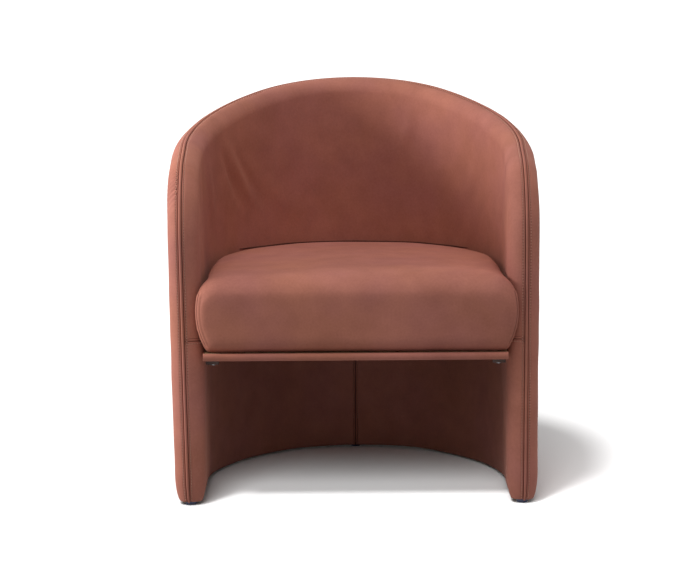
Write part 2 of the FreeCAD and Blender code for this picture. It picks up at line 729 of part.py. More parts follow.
# Padding: sheet foam outside the plywood, thick foam inside it and over the rim.
outer_zone, _ = shell_band("OuterZone", -REACH, ply_out, -REACH, floor_low, sky - floor_low)
outer_padding_blank = common("OuterPaddingBlank", stuffing, outer_zone)
outer_padding = cut("OuterPadding", outer_padding_blank, base_ring_body)
frame_parts = posts + side_panels + [back_panel, base_ring_body, seat_ring_body]
frame_parts += [batten for pair in battens.values() for batten in pair]
inner_stuffing = cut("InnerStuffing", stuffing, outer_zone)
inner_padding = cut("InnerPadding", inner_stuffing, compound("FrameSolids", frame_parts))
joint_line = front_line + panel_joint
ring_middle = seat_ring_level + size("seat_ring_height") / 2
foam_zones = {
    "left": ((left_edge, front_edge), (0, joint_line)),
    "right": ((0, front_edge), (right_edge, joint_line)),
    "back": ((left_edge, joint_line), (right_edge, back_edge)),
}
upper_foam, lower_foam = {}, {}
for hand, (low, high) in foam_zones.items():
    above = block("UpperFoamZone" + hand, (*low, ring_middle), (*high, sky))
    below = block("LowerFoamZone" + hand, (*low, floor_low), (*high, ring_middle))
    upper_foam[hand] = common("UpperFoam" + hand, inner_padding, above)
    lower_foam[hand] = common("LowerFoam" + hand, inner_padding, below)

# Leather covers: the skin between the finished shape and the stuffing, open along the underside.
underside, _ = shell_band(
    "UndersideSlot", glide_inset - half_slot, glide_inset + half_slot, -REACH, floor_low,
    base_level + 2 * leather - floor_low,
)
leather_skin = cut("LeatherSkin", cut("LeatherWrap", skin, stuffing), underside)
outside_zone, _ = shell_band("OutsideZone", -REACH, welt_start, -REACH, floor_low, sky - floor_low)
inside_zone, _ = shell_band("InsideZone", welt_end, wall + REACH, -REACH, floor_low, sky - floor_low)
welt_zone, _ = shell_band("WeltZone", welt_start, welt_end, -REACH, floor_low, sky - floor_low)
outer_skin = common("OuterSkin", leather_skin, outside_zone)
inner_skin = common("InnerSkin", leather_skin, inside_zone)
seam_height = size("seat_board_height") + size("cover_seam_rise")
halves = {"left": (left_edge, as_size(0)), "right": (as_size(0), right_edge)}
outer_covers, lower_covers = {}, {}
lower_skin = cut("LowerSkin", inner_skin, cleat_screws)
for hand, (x0, x1) in halves.items():
    full = block("CoverHalf" + hand, (x0, front_edge, floor_low), (x1, back_edge, sky))
    low = block("LowerCoverHalf" + hand, (x0, front_edge, floor_low), (x1, back_edge, seam_height))
    outer_covers[hand] = common("OuterCover" + hand, outer_skin, full)
    lower_covers[hand] = common("LowerCover" + hand, lower_skin, low)
back_cover = common("BackCover", inner_skin, block(
    "BackCoverZone", (left_edge, front_edge, seam_height), (right_edge, back_edge, sky)))
welt = cut("RimWelt", common("WeltStrip", cut("WeltWrap", welt_skin, stuffing), welt_zone), underside)

# Seat board: a plywood ring with a webbed opening.
board_front = -(size("seat_overhang") / 2)
seat_board_body = new_body("SeatBoardBody")
board_sketch = new_sketch(seat_board_body, "Plan", "XY_Plane", up=size("seat_board_height"))
draw_tray(board_sketch, seat_side, board_front)
draw_tray(
    board_sketch, seat_side + size("seat_board_border"), board_front + size("seat_board_border")
)
pad(seat_board_body, board_sketch, size("seat_board_thickness"))
seat_board = cut("SeatBoard", seat_board_body, insert_pockets)

# Webbing: elastic straps stapled across the board, one way over the other.
strap_end = size("seat_hem") + leather
strap_zone_body = new_body("StrapZone")
strap_sketch = new_sketch(strap_zone_body, "Plan", "XY_Plane", up=board_top)
draw_tray(strap_sketch, seat_side + strap_end, board_front + strap_end)
pad(strap_zone_body, strap_sketch, 2 * size("webbing_thickness"))


def straps(name, count, lengthwise, bottom):
    """Parallel straps, evenly spaced about the middle of the seat board."""
    bars = []
    middle = (front_line + size("shell_depth") / 2 + board_front / 2).number
    width = size("webbing_width").number
    pitch = width + size("webbing_gap").number
    reach = size("shell_width").number
    for index in range(count):
        offset = (index - (count - 1) / 2) * pitch
        spot = Vector(offset - width / 2, -reach, bottom) if lengthwise else Vector(
            -reach, middle + offset - width / 2, bottom)
        span = (width, 2 * reach) if lengthwise else (2 * reach, width)
        bars.append(Part.makeBox(*span, size("webbing_thickness").number, spot))
    return common(name, group(name + "Bars", bars), strap_zone_body)


webbing_lengthwise = straps("WebbingLengthwise", STRAPS_LENGTHWISE, True, board_top.number)
webbing_crosswise = straps(
    "WebbingCrosswise", STRAPS_CROSSWISE, False, (board_top + size("webbing_thickness")).number
)


# Seat cushion: a crowned block with swelling sides and a rolled front, trimmed by the shell.
def tangent_corner(centre_a, radius_a, centre_b, radius_b, radius):
    """Centre of a circle lying inside two circles and touching both, on the upper right."""
    a, b = radius_a - radius, radius_b - radius
    gap = centre_b - centre_a
    along = (a * a - b * b + gap.Length ** 2) / (2 * gap.Length)
    across = math.sqrt(a * a - along * along)
    unit = gap / gap.Length
    return centre_a + unit * along + Vector(-unit.z, 0, unit.x) * across


def cushion_section(y, crown, inset, top_inset):
    """Front-view outline of the cushion: flat underside, swelling sides, crowned top."""
    half = seat_front_half.number - inset
    low = board_top.number + min(inset, leather.number)
    drop, swell = size("seat_crown_drop").number, size("seat_bulge").number
    rise = size("seat_bulge_height").number
    crown_radius = (half * half + drop * drop) / (2 * drop)
    side_radius = (rise * rise + swell * swell) / (2 * swell) - inset
    top = Vector(0, y, crown - inset)
    crown_centre = top - Vector(0, 0, crown_radius)
    waist = board_top.number + rise
    side_centre = Vector(half - side_radius, y, waist)
    radius = size("seat_corner_radius").number - inset - top_inset
    corner = tangent_corner(side_centre, side_radius, crown_centre, crown_radius, radius)
    foot_x = side_centre.x + math.sqrt(side_radius ** 2 - (waist - low) ** 2)
    foot = Vector(foot_x, y, low)
    side_end = side_centre + (corner - side_centre).normalize() * side_radius
    crown_end = crown_centre + (corner - crown_centre).normalize() * crown_radius
    bulge = Vector(half, y, waist)
    bisector = (side_end - corner) + (crown_end - corner)
    bend = corner + bisector.normalize() * radius

    def other(point):
        return Vector(-point.x, point.y, point.z)

    edges = [
        Part.LineSegment(other(foot), foot),
        Part.Arc(foot, bulge, side_end),
        Part.Arc(side_end, bend, crown_end),
        Part.Arc(crown_end, top, other(crown_end)),
        Part.Arc(other(crown_end), other(bend), other(side_end)),
        Part.Arc(other(side_end), other(bulge), other(foot)),
    ]
    return Part.Wire([edge.toShape() for edge in edges])


def cushion(name, inset, top_inset=0.0):
    """The cushion's full block, drawn in by inset, with its top and front drawn in further."""
    front = (front_line - size("seat_overhang")).number + inset + top_inset
    back = back_edge.number
    crown, fall = size("seat_height").number - top_inset, size("seat_fall").number
    stations = [(front, crown - fall / 2), ((front + back) / 2, crown), (back, crown - fall)]
    sections = [cushion_section(y, z, inset, top_inset) for y, z in stations]
    solid = Part.makeLoft(sections, True, False)
    low = solid.BoundBox.ZMin + 0.01
    at_front = [e for e in solid.Edges if e.BoundBox.YMax < front + 0.01]
    rolled = [e for e in at_front if e.BoundBox.ZMax > low]
    solid = solid.makeFillet(size("seat_front_radius").number - inset - top_inset, rolled)
    at_front = [e for e in solid.Edges if e.BoundBox.YMax < front + 0.01]
    lower = [e for e in at_front if e.BoundBox.ZMax < low]
    solid = solid.makeFillet(size("seat_bottom_radius").number - inset, lower)
    thing = doc.addObject("Part::Feature", name)
    thing.Shape = solid
    return thing


def trimmed_cushion(name, inset, hollow, top_inset=0.0):
    """A cushion block inside the shell and above the seat board."""
    blank = common(name + "Blank", cushion(name + "Block", inset, top_inset), cushion_zone)
    return cut(name, blank, hollow)


cushion_zone = new_body("CushionZone")
zone_sketch = new_sketch(cushion_zone, "Plan", "XY_Plane", up=board_top)
draw_tray(zone_sketch, wall / 2, -2 * REACH)
pad(cushion_zone, zone_sketch, sky - board_top)
core_inset = leather + size("topper_side")
seat_core_hollow = padded_wall("SeatCoreHollow", -(size("seat_clearance") + core_inset))
top_inset = (size("topper_thickness") - size("topper_side")).number
cushion_skin = trimmed_cushion("CushionSkin", 0.0, seat_hollow)
cushion_stuffing = trimmed_cushion("CushionStuffing", leather.number, seat_cover_hollow)
core_blank = trimmed_cushion("CushionCore", core_inset.number, seat_core_hollow, top_inset)
webbing = compound("Webbing", [webbing_lengthwise, webbing_crosswise])
seat_core = cut("SeatCore", core_blank, webbing)
seat_topper = cut("SeatTopper", cut("TopperBlank", cushion_stuffing, core_blank), webbing)

# Seat cover: one panel over the top and down the front, with side panels that meet at the back.
hem_opening = new_body("HemOpening")
hem_sketch = new_sketch(hem_opening, "Plan", "XY_Plane", up=floor_low)
draw_tray(hem_sketch, seat_side + size("seat_hem"), board_front + size("seat_hem"))
pad(hem_opening, hem_sketch, board_top + 2 * leather - floor_low)
cushion_cover = cut("CushionCover", cut("CushionWrap", cushion_skin, cushion_stuffing), hem_opening)
panel_back = new_body("TopPanelBack")
panel_sketch = new_sketch(panel_back, "Plan", "XY_Plane", up=floor_low)
panel_split = -(size("seat_clearance") + leather)
draw_tray(panel_sketch, seat_side + size("gusset_width"), panel_split)
pad(panel_back, panel_sketch, sky - floor_low)


def front_panel_zone():
    """The space between the two front seams: the cushion's sides moved in by the gusset."""
    gusset, swell = size("gusset_width").number, size("seat_bulge").number
    rise, half = size("seat_bulge_height").number, seat_front_half.number - size("gusset_width").number
    radius = (rise * rise + swell * swell) / (2 * swell) - gusset
    y, low, waist = front_edge.number, board_top.number, board_top.number + rise
    foot = Vector(half - radius + math.sqrt(radius ** 2 - rise ** 2), y, low)
    bulge, shoulder = Vector(half, y, waist), Vector(foot.x, y, waist + rise)
    mirror = [Vector(-p.x, p.y, p.z) for p in (foot, bulge, shoulder)]
    edges = [
        Part.LineSegment(mirror[0], foot),
        Part.Arc(foot, bulge, shoulder),
        Part.LineSegment(shoulder, mirror[2]),
        Part.Arc(mirror[2], mirror[1], mirror[0]),
    ]
    face = Part.Face(Part.Wire([edge.toShape() for edge in edges]))
    thing = doc.addObject("Part::Feature", "TopPanelFront")
    thing.Shape = face.extrude(Vector(0, (front_line + panel_split).number - y, 0))
    return thing


top_zone = doc.addObject("Part::MultiFuse", "TopPanelZone")
top_zone.Shapes = [panel_back, front_panel_zone()]
seat_top_cover = common("SeatTopCover", cushion_cover, top_zone)
seat_sides = cut("SeatSides", cushion_cover, top_zone)
seat_side_covers = {
    hand: common("SeatSideCover" + hand, seat_sides, block(
        "SeatHalf" + hand, (x0, front_edge, floor_low), (x1, back_edge, sky)))
    for hand, (x0, x1) in halves.items()
}

# Leather lip: a strip over the front edge of the seat board, turned under it.
seat_lip = new_body("SeatLip")
lip_sketch = new_sketch(seat_lip, "Section", "YZ_Plane")
lip_back, lip_front = board_front + size("lip_turn"), board_front - leather
lip_low, lip_mid = size("seat_board_height") - leather, size("seat_board_height")
lip_points = [
    (lip_front, lip_low), (lip_back, lip_low), (lip_back, lip_mid),
    (board_front, lip_mid), (board_front, board_top), (lip_front, board_top),
]
lip_corners = [(y.number, z.number) for y, z in lip_points]
lip_lines = [line(lip_sketch, a, b) for a, b in zip(lip_corners, lip_corners[1:] + lip_corners[:1])]
for first, second in zip(lip_lines, lip_lines[1:] + lip_lines[:1]):
    constrain(lip_sketch, "Coincident", first, 2, second, 1)
for index, lip_line in enumerate(lip_lines):
    constrain(lip_sketch, "Vertical" if index % 2 else "Horizontal", lip_line)
fix(lip_sketch, -lip_front, "DistanceX", lip_lines[0], 1, *ORIGIN)
fix(lip_sketch, lip_low, "DistanceY", *ORIGIN, lip_lines[0], 1)
fix(lip_sketch, lip_back - lip_front, "DistanceX", lip_lines[0], 1, lip_lines[0], 2)
fix(lip_sketch, leather, "DistanceY", lip_lines[1], 1, lip_lines[1], 2)
fix(lip_sketch, leather, "DistanceX", lip_lines[4], 2, lip_lines[4], 1)
fix(lip_sketch, board_top - lip_mid, "DistanceY", lip_lines[3], 1, lip_lines[3], 2)
lip_pad = pad(seat_lip, lip_sketch, 2 * (half_width - seat_side))
lip_pad.Midplane = True

# Dust cover: thin cloth under the webbing, between the cleats and the lip.
dust_cover = new_body("DustCover")
dust_sketch = new_sketch(
    dust_cover, "Plan", "XY_Plane", up=size("seat_board_height") - size("dust_cover_thickness")
)
draw_tray(
    dust_sketch, seat_side + size("cleat_width") + leather, board_front + size("lip_turn") + leather
)
pad(dust_cover, dust_sketch, size("dust_cover_thickness"))

for side, hand in ((-1, "left"), (1, "right")):
    piece(posts[(side + 1) // 2], "front_post_" + hand)
    piece(side_panels[(side + 1) // 2], "side_panel_" + hand)
    piece(compound("Battens" + hand, battens[hand]), "joint_battens_" + hand)
    piece(upper_foam[hand], "arm_foam_" + hand)
    piece(lower_foam[hand], "base_foam_" + hand)
    piece(outer_covers[hand], "outer_cover_" + hand)
    piece(lower_covers[hand], "lower_cover_" + hand)
    piece(cleats[hand], "seat_cleat_" + hand)
    piece(seat_side_covers[hand], "seat_side_cover_" + hand)
piece(back_panel, "back_panel")
piece(base_ring, "base_ring")
piece(seat_ring, "seat_ring")
piece(outer_padding, "outer_padding")
piece(upper_foam["back"], "back_foam")
piece(lower_foam["back"], "base_foam_back")
piece(back_cover, "back_cover")
piece(welt, "rim_welt")
piece(cleats["back"], "seat_cleat_back")
piece(cleat_screws, "cleat_screws")
piece(seat_bolts, "seat_bolts")
piece(seat_inserts, "seat_inserts")
piece(seat_board, "seat_board")
piece(webbing_lengthwise, "webbing_lengthwise")
piece(webbing_crosswise, "webbing_crosswise")
piece(glide_screws, "glide_screws")
piece(seat_core, "seat_foam_core")
piece(seat_topper, "seat_foam_topper")
piece(seat_top_cover, "seat_top_cover")
piece(seat_lip, "seat_front_lip")
piece(dust_cover, "dust_cover")
for name, glide in glides.items():
    piece(glide, name)

doc.recompute()
failed = [thing.Name for thing in doc.Objects if {"Invalid", "Error"} & set(thing.State)]
if failed:
    raise RuntimeError("these objects failed: " + ", ".join(failed))
for thing in pieces:
    if thing.Shape.isNull() or not thing.Shape.isValid() or not thing.Shape.Solids:
        raise RuntimeError("no sound solid: " + thing.Label)
os.makedirs("parts", exist_ok=True)
for thing in pieces:
    thing.Shape.exportStep(os.path.join("parts", thing.Label + ".step"))
    print(thing.Label, len(thing.Shape.Solids), "solids", round(thing.Shape.Volume / 1000, 2), "cm3")
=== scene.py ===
"""Looks of the tub armchair: leather covers, seams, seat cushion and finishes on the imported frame.

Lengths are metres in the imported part's own frame: +Z up, the sitter faces -Y.
"""

import bmesh
import bpy
import numpy as np
from mathutils import Matrix, Vector
from mathutils.bvhtree import BVHTree


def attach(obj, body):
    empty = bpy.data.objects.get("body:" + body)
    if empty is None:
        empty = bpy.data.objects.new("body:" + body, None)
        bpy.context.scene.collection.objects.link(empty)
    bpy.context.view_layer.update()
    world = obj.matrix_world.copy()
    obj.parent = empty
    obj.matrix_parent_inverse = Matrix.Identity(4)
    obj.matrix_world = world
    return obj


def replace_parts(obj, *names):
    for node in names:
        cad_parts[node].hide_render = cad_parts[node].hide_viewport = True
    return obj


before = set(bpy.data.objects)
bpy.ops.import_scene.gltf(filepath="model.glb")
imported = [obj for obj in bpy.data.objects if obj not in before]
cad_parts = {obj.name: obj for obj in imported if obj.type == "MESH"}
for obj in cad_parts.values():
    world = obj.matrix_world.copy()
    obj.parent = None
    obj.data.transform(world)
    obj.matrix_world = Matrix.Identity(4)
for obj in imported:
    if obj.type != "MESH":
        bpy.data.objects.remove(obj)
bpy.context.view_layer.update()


# Wooden frame: plywood rings and panels, beech posts and battens and dark stained cleats, kept as packed.
# Only their finishes are made here. The shader class below serves every later piece.
class Field:
    """A shader socket that adds, multiplies and so on with numbers and with other sockets."""

    def __init__(self, tree, socket):
        self.tree = tree
        self.socket = socket

    def node(self, kind, settings, sockets, output=0):
        """A node of any kind, with its settings, its sockets and the output that is wanted."""
        made = self.tree.nodes.new(kind)
        for name, value in settings.items():
            setattr(made, name, value)
        for key, value in sockets.items():
            if isinstance(value, Field):
                self.tree.links.new(value.socket, made.inputs[key])
            else:
                made.inputs[key].default_value = value
        return Field(self.tree, made.outputs[output])

    def feed(self, target):
        """Links this socket to the input of another node."""
        self.tree.links.new(self.socket, target)

    def maths(self, operation, *terms):
        """A sum, product or other operation on sockets and numbers."""
        return self.node("ShaderNodeMath", {"operation": operation}, dict(enumerate(terms)))

    def __add__(self, other):
        return self.maths("ADD", self, other)

    def __sub__(self, other):
        return self.maths("SUBTRACT", self, other)

    def __rsub__(self, other):
        return self.maths("SUBTRACT", other, self)

    def __mul__(self, other):
        return self.maths("MULTIPLY", self, other)

    __radd__ = __add__
    __rmul__ = __mul__

    def spread(self, low, high):
        """This value as a share of the way from low to high, kept between 0 and 1."""
        return self.node("ShaderNodeMapRange", {}, {"Value": self, "From Min": low, "From Max": high})

    def noise(self, scale, detail=3.0, stretch=(1.0, 1.0, 1.0)):
        """Cloudy noise on these coordinates, finer along the axes that are stretched more."""
        place = self.node("ShaderNodeMapping", {}, {"Vector": self, "Scale": stretch})
        return self.node("ShaderNodeTexNoise", {}, {"Vector": place, "Scale": scale, "Detail": detail})

    def colours(self, first, second):
        """A colour between two, by this share."""
        sockets = {"Factor": self, 6: first, 7: second}
        return self.node("ShaderNodeMix", {"data_type": "RGBA"}, sockets, output=2)

    def bump(self, distance, strength=1.0):
        """A surface normal from this height."""
        return self.node("ShaderNodeBump", {}, {"Height": self, "Distance": distance, "Strength": strength})


def new_material(name, **constants):
    """A Principled material, with its shader node and its object coordinates."""
    made = bpy.data.materials.new(name)
    made.use_nodes = True
    shader = made.node_tree.nodes["Principled BSDF"]
    for socket, value in constants.items():
        shader.inputs[socket.replace("_", " ").title()].default_value = value
    coordinates = made.node_tree.nodes.new("ShaderNodeTexCoord")
    return made, shader, Field(made.node_tree, coordinates.outputs["Object"])


def finish_nodes(material, *names):
    """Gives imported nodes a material."""
    for name in names:
        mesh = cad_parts[name].data
        mesh.materials.clear()
        mesh.materials.append(material)


plywood, shader, place = new_material("plywood", roughness=0.6)
plies = place.noise(3.0, 2.0, (1.0, 1.0, 170.0)).spread(0.42, 0.58)
grain = place.noise(30.0, 5.0, (1.0, 12.0, 1.0)) * 0.5 + plies * 0.5
grain.colours((0.36, 0.22, 0.11, 1), (0.66, 0.47, 0.27, 1)).feed(shader.inputs["Base Color"])
grain.bump(0.0002).feed(shader.inputs["Normal"])
finish_nodes(plywood, "base_ring", "seat_ring", "back_panel", "side_panel_left", "side_panel_right")
finish_nodes(plywood, "seat_board")

beech, shader, place = new_material("beech", roughness=0.5)
grain = place.noise(26.0, 4.0, (6.0, 1.0, 6.0))
flecks = place.noise(400.0, 1.0, (1.0, 0.2, 1.0)).spread(0.60, 0.72)
wood = (grain - flecks * 0.25).colours((0.45, 0.25, 0.12, 1), (0.72, 0.48, 0.28, 1))
wood.feed(shader.inputs["Base Color"])
grain.bump(0.0002).feed(shader.inputs["Normal"])
finish_nodes(beech, "front_post_left", "front_post_right", "joint_battens_left", "joint_battens_right")

stain, shader, place = new_material("stained_beech", roughness=0.55)
grain = place.noise(26.0, 4.0, (6.0, 1.0, 6.0))
grain.colours((0.035, 0.015, 0.010, 1), (0.075, 0.033, 0.023, 1)).feed(shader.inputs["Base Color"])
grain.bump(0.0002).feed(shader.inputs["Normal"])
finish_nodes(stain, "seat_cleat_left", "seat_cleat_right", "seat_cleat_back")

# Screws, bolts and threaded inserts: dull zinc and plain brass, with uneven polish.
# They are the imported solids.
zinc, shader, place = new_material("zinc_steel", metallic=1.0, base_color=(0.34, 0.345, 0.35, 1))
(place.noise(900.0, 2.0) * 0.25 + 0.45).feed(shader.inputs["Roughness"])
finish_nodes(zinc, "cleat_screws", "seat_bolts", "glide_screws")

brass, shader, place = new_material("brass", metallic=1.0, base_color=(0.62, 0.43, 0.16, 1))
(place.noise(900.0, 2.0) * 0.25 + 0.25).feed(shader.inputs["Roughness"])
finish_nodes(brass, "seat_inserts")

# Webbing: black elastic straps with a fine woven rib.
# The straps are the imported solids.
webbing, shader, place = new_material("webbing", roughness=0.85)
ribs = {"Vector": place, "Scale": 180.0}
rib = place.node("ShaderNodeTexWave", {"bands_direction": "DIAGONAL"}, ribs, output=1)
rib.colours((0.012, 0.012, 0.013, 1), (0.05, 0.047, 0.045, 1)).feed(shader.inputs["Base Color"])
rib.bump(0.0004).feed(shader.inputs["Normal"])
finish_nodes(webbing, "webbing_lengthwise", "webbing_crosswise")

# Glides: domed discs of dark blue plastic under the shell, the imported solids.
# The moulded skin has a faint grain and a soft gloss.
plastic, shader, place = new_material("glide_plastic", base_color=(0.010, 0.016, 0.070, 1), roughness=0.32)
place.noise(1500.0, 2.0).bump(0.00005).feed(shader.inputs["Normal"])
finish_nodes(plastic, "glide_front_left", "glide_front_right", "glide_side_left", "glide_side_right")
finish_nodes(plastic, "glide_back")

# Outer covers: leather over sheet foam, from the centre back round each arm front and up to the rim seam.
# They are stretched over the rounded rim, and the left one has fine gathers where it turns over the arm, with
# painted shade in their valleys.
HALF_WIDTH = 0.353
ARM_FRONT = -0.3125
SHELL_DEPTH = 0.650
STRAIGHT = 0.200
BACK_RADIUS = 0.285
BACK_CENTRE = ARM_FRONT + SHELL_DEPTH - BACK_RADIUS
BEND = BACK_CENTRE - ARM_FRONT - STRAIGHT
SIDE_RADIUS = (HALF_WIDTH ** 2 + BEND ** 2 - BACK_RADIUS ** 2) / (2 * (HALF_WIDTH - BACK_RADIUS))
SIDE_TURN = np.arctan2(BEND, SIDE_RADIUS - HALF_WIDTH)
SIDE_END = STRAIGHT + SIDE_RADIUS * SIDE_TURN
CENTRE_BACK = SIDE_END + BACK_RADIUS * (np.pi / 2 - SIDE_TURN)
WALL = 0.060
RIM_RADIUS = WALL / 2
RIM_END = RIM_RADIUS * np.pi
ARM_HEIGHT = 0.675
BACK_HEIGHT = 0.801
CORNER_RADIUS = 0.155
SWEEP_RADIUS = 8.0
RIM_RUN = SHELL_DEPTH - CORNER_RADIUS
RIM_RISE = BACK_HEIGHT - ARM_HEIGHT
RIM_CHORD = np.hypot(RIM_RUN, RIM_RISE)
SWEEP_ARM = np.sqrt(SWEEP_RADIUS ** 2 - RIM_CHORD ** 2 / 4)
SWEEP_LEAD = SWEEP_ARM * RIM_RISE / RIM_CHORD - RIM_RUN / 2
SWEEP_LEVEL = ARM_HEIGHT + RIM_RISE / 2 + SWEEP_ARM * RIM_RUN / RIM_CHORD
CORNER_LEAN = np.arcsin(SWEEP_LEAD / (CORNER_RADIUS + SWEEP_RADIUS))
CORNER_LEVEL = SWEEP_LEVEL - (CORNER_RADIUS + SWEEP_RADIUS) * np.cos(CORNER_LEAN)
HEM_LEVEL = 0.0055
HEM_TUCK = 0.0115
HEM_RISE = 0.055
HEM_TURN = np.radians(75)
WELT_WIDTH = 0.006
SEAM_OUTER = 0.0395
SEAM_INNER = SEAM_OUTER + WELT_WIDTH
COVER_SEAM = 0.325
LEATHER = 0.0015
SPLAY = 0.0065
LEAN = 0.003
GATHER_LEVEL = 0.635
GATHER_PITCH = 0.023
# Distances from a sewn edge at which the leather is sampled, close together where it dips into the seam.
NEAR_SEAM = np.array([0, 0.6, 1.2, 1.9, 2.8, 3.6, 4.2, 4.8, 5.4, 6.0, 7.0, 9.0, 12.5]) / 1000


def smooth_step(share):
    """An even rise from 0 to 1."""
    share = np.clip(share, 0, 1)
    return share * share * (3 - 2 * share)


def plan(run, inset):
    """Plan point and outward direction on the right half, from the run along the outer line and the inset.

    The line is a straight side, then an arc of the side radius, then an arc of the back radius.
    """
    turn = np.clip(run - STRAIGHT, 0, SIDE_END - STRAIGHT) / SIDE_RADIUS
    turn = turn + np.maximum(run - SIDE_END, 0) / BACK_RADIUS
    on_back = run > SIDE_END
    centre_x = np.where(on_back, 0.0, HALF_WIDTH - SIDE_RADIUS)
    centre_y = np.where(on_back, BACK_CENTRE, ARM_FRONT + STRAIGHT)
    radius = np.where(on_back, BACK_RADIUS, SIDE_RADIUS) - inset
    x = centre_x + radius * np.cos(turn)
    y = centre_y + radius * np.sin(turn) + np.minimum(run - STRAIGHT, 0)
    return x, y, np.cos(turn), np.sin(turn)


def inset_of(x, y):
    """Distance of a plan point inside the outer line."""
    side_x = np.abs(x) - HALF_WIDTH + SIDE_RADIUS
    side = SIDE_RADIUS - np.hypot(side_x, np.maximum(y - ARM_FRONT - STRAIGHT, 0))
    back = BACK_RADIUS - np.hypot(x, y - BACK_CENTRE)
    return np.where(y - BACK_CENTRE > np.abs(x) * np.tan(SIDE_TURN), back, side)


def settle(points):
    """The shell as it stands: its arms ease outwards with height, and it leans slightly to one side.

    Its inner face stays upright up to the seat.
    """
    x, y, z = np.moveaxis(points, -1, 0)
    rise = 0.5 * (1 + z / 0.52 - np.sqrt((1 - z / 0.52) ** 2 + 0.03))
    inner = smooth_step((inset_of(x, y) - WALL / 2) / (WALL / 2))
    rise = rise * (1 - inner * (1 - smooth_step((z - 0.30) / 0.22)))
    return np.stack([x + rise * (SPLAY * np.clip(x / 0.30, -1, 1) - LEAN), y, z], -1)


class Grid:
    """Rows and columns of points on a surface, with their normals and the painted shade on each, kept as a
    depth.
    """

    def __init__(self, points, normals, painted_shade=0.0):
        self.points = points
        self.normals = normals
        self.painted_shade = np.broadcast_to(painted_shade, points.shape[:-1])

    def pressed(self, depth):
        """Moved in along the normals, by a depth that is also painted on as shade."""
        depth = np.broadcast_to(depth, self.painted_shade.shape)
        return Grid(self.points - self.normals * depth[..., None], self.normals, self.painted_shade + depth)

    def swollen(self, height):
        """Moved out along the normals."""
        return Grid(self.points + self.normals * height[..., None], self.normals, self.painted_shade)

    def settled(self):
        """Eased outwards as the shell stands."""
        return Grid(settle(self.points), self.normals, self.painted_shade)

    def mirrored(self):
        """The same grid on the left half."""
        flip = np.array([-1.0, 1.0, 1.0])
        return Grid(self.points * flip, self.normals * flip, self.painted_shade)

    def hemmed(self, turn_limit):
        """With rows below the first, tucked under as a quarter ellipse whose turn may be limited."""
        turn = np.linspace(1, 0, 14)[:-1, None] * turn_limit
        turn = np.broadcast_to(turn, (len(turn), self.points.shape[1]))[..., None]
        points = self.points[0] - self.normals[0] * HEM_TUCK * (1 - np.cos(turn))
        points[..., 2] = HEM_LEVEL + HEM_RISE * (1 - np.sin(turn[..., 0]))
        normals = self.normals[0] * np.cos(turn)
        normals[..., 2] -= np.sin(turn[..., 0])
        painted_shade = np.broadcast_to(self.painted_shade[0], points.shape[:-1])
        return Grid(
            np.concatenate([points, self.points]), np.concatenate([normals, self.normals]),
            np.concatenate([painted_shade, self.painted_shade]),
        )


def rim_section(reach, tilt):
    """Inset, drop and facing at a reach over the rim: a half circle from the outer face to the inner one.

    The rim's top falls inwards by tilt. Facing is pi on the outer face of the wall and 0 on its inner face.
    """
    facing = np.pi - reach / RIM_RADIUS
    crest = RIM_RADIUS * (np.tan(tilt) + 1 / np.cos(tilt))
    return RIM_RADIUS * (1 + np.cos(facing)), crest - RIM_RADIUS * np.sin(facing), facing


class RimLine:
    """A row of stations along the rim: where each is, which way is into the wall, and its tilt."""

    def __init__(self, run, level, in_run, in_level, tilt):
        self.run, self.level, self.in_run, self.in_level, self.tilt = (
            np.asarray(v, float)[:, None] for v in (run, level, in_run, in_level, tilt)
        )

    def grid(self, reach):
        """The wall's rounded edge at the given reaches."""
        inset, drop, facing = rim_section(reach, self.tilt)
        x, y, out_x, out_y = plan(self.run + self.in_run * drop, inset)
        level = self.level + self.in_level * drop
        outward, away = -np.cos(facing), np.sin(facing)
        normals = np.stack([
            outward * out_x + away * self.in_run * out_y,
            outward * out_y - away * self.in_run * out_x,
            -away * self.in_level + 0 * x,
        ], -1)
        return Grid(np.stack([x, y, level + 0 * x], -1), normals)


def front_line(levels):
    """Rim stations straight up the front of an arm."""
    zero = np.zeros(len(levels))
    return RimLine(zero, levels, zero + 1, zero, zero)


def upper_line(columns):
    """Rim stations round the front corner and along the hollow sweep to the centre back.

    The rim's height follows its depth, so its top falls inwards where the wall faces backwards.
    """
    turn = np.linspace(np.pi, np.pi / 2 + CORNER_LEAN, 80)[:-1]
    corner_run = CORNER_RADIUS * (1 + np.cos(turn))
    corner_level = CORNER_LEVEL + CORNER_RADIUS * np.sin(turn)
    _, y, out_x, out_y = plan(columns, 0.0)
    depth = y - ARM_FRONT - CORNER_RADIUS + SWEEP_LEAD
    height = np.sqrt(SWEEP_RADIUS ** 2 - depth ** 2)
    along = depth / height * out_x
    length = np.sqrt(1 + along ** 2)
    zero = np.zeros(len(turn))
    return RimLine(
        np.concatenate([corner_run, columns]),
        np.concatenate([corner_level, SWEEP_LEVEL - height]),
        np.concatenate([-np.cos(turn), along / length]),
        np.concatenate([-np.sin(turn), -1 / length]),
        np.concatenate([zero, np.arctan(depth / height * out_y)]),
    )


corner_end = CORNER_RADIUS * (1 - np.sin(CORNER_LEAN))
sweep_columns = np.concatenate([
    np.linspace(corner_end, CENTRE_BACK - NEAR_SEAM[-1], 118), CENTRE_BACK - NEAR_SEAM[-2::-1],
])
rim = upper_line(sweep_columns)


def wall_grid(run, level, inset, side):
    """A flat face of the wall: side 1 is the outer face, -1 the inner one."""
    x, y, out_x, out_y = plan(run, inset)
    points = np.stack(np.broadcast_arrays(x, y, level), -1)
    return Grid(points, side * np.stack(np.broadcast_arrays(out_x, out_y, 0.0 * level), -1))


def seam_dip(distance):
    """How far leather sinks near a seam's edge: into the seam, and a little under the row of stitches."""
    edge = 0.0024 * np.exp(-(distance / 0.0014) ** 2)
    return edge + 0.0018 * np.exp(-((distance - 0.0048) / 0.0009) ** 2)


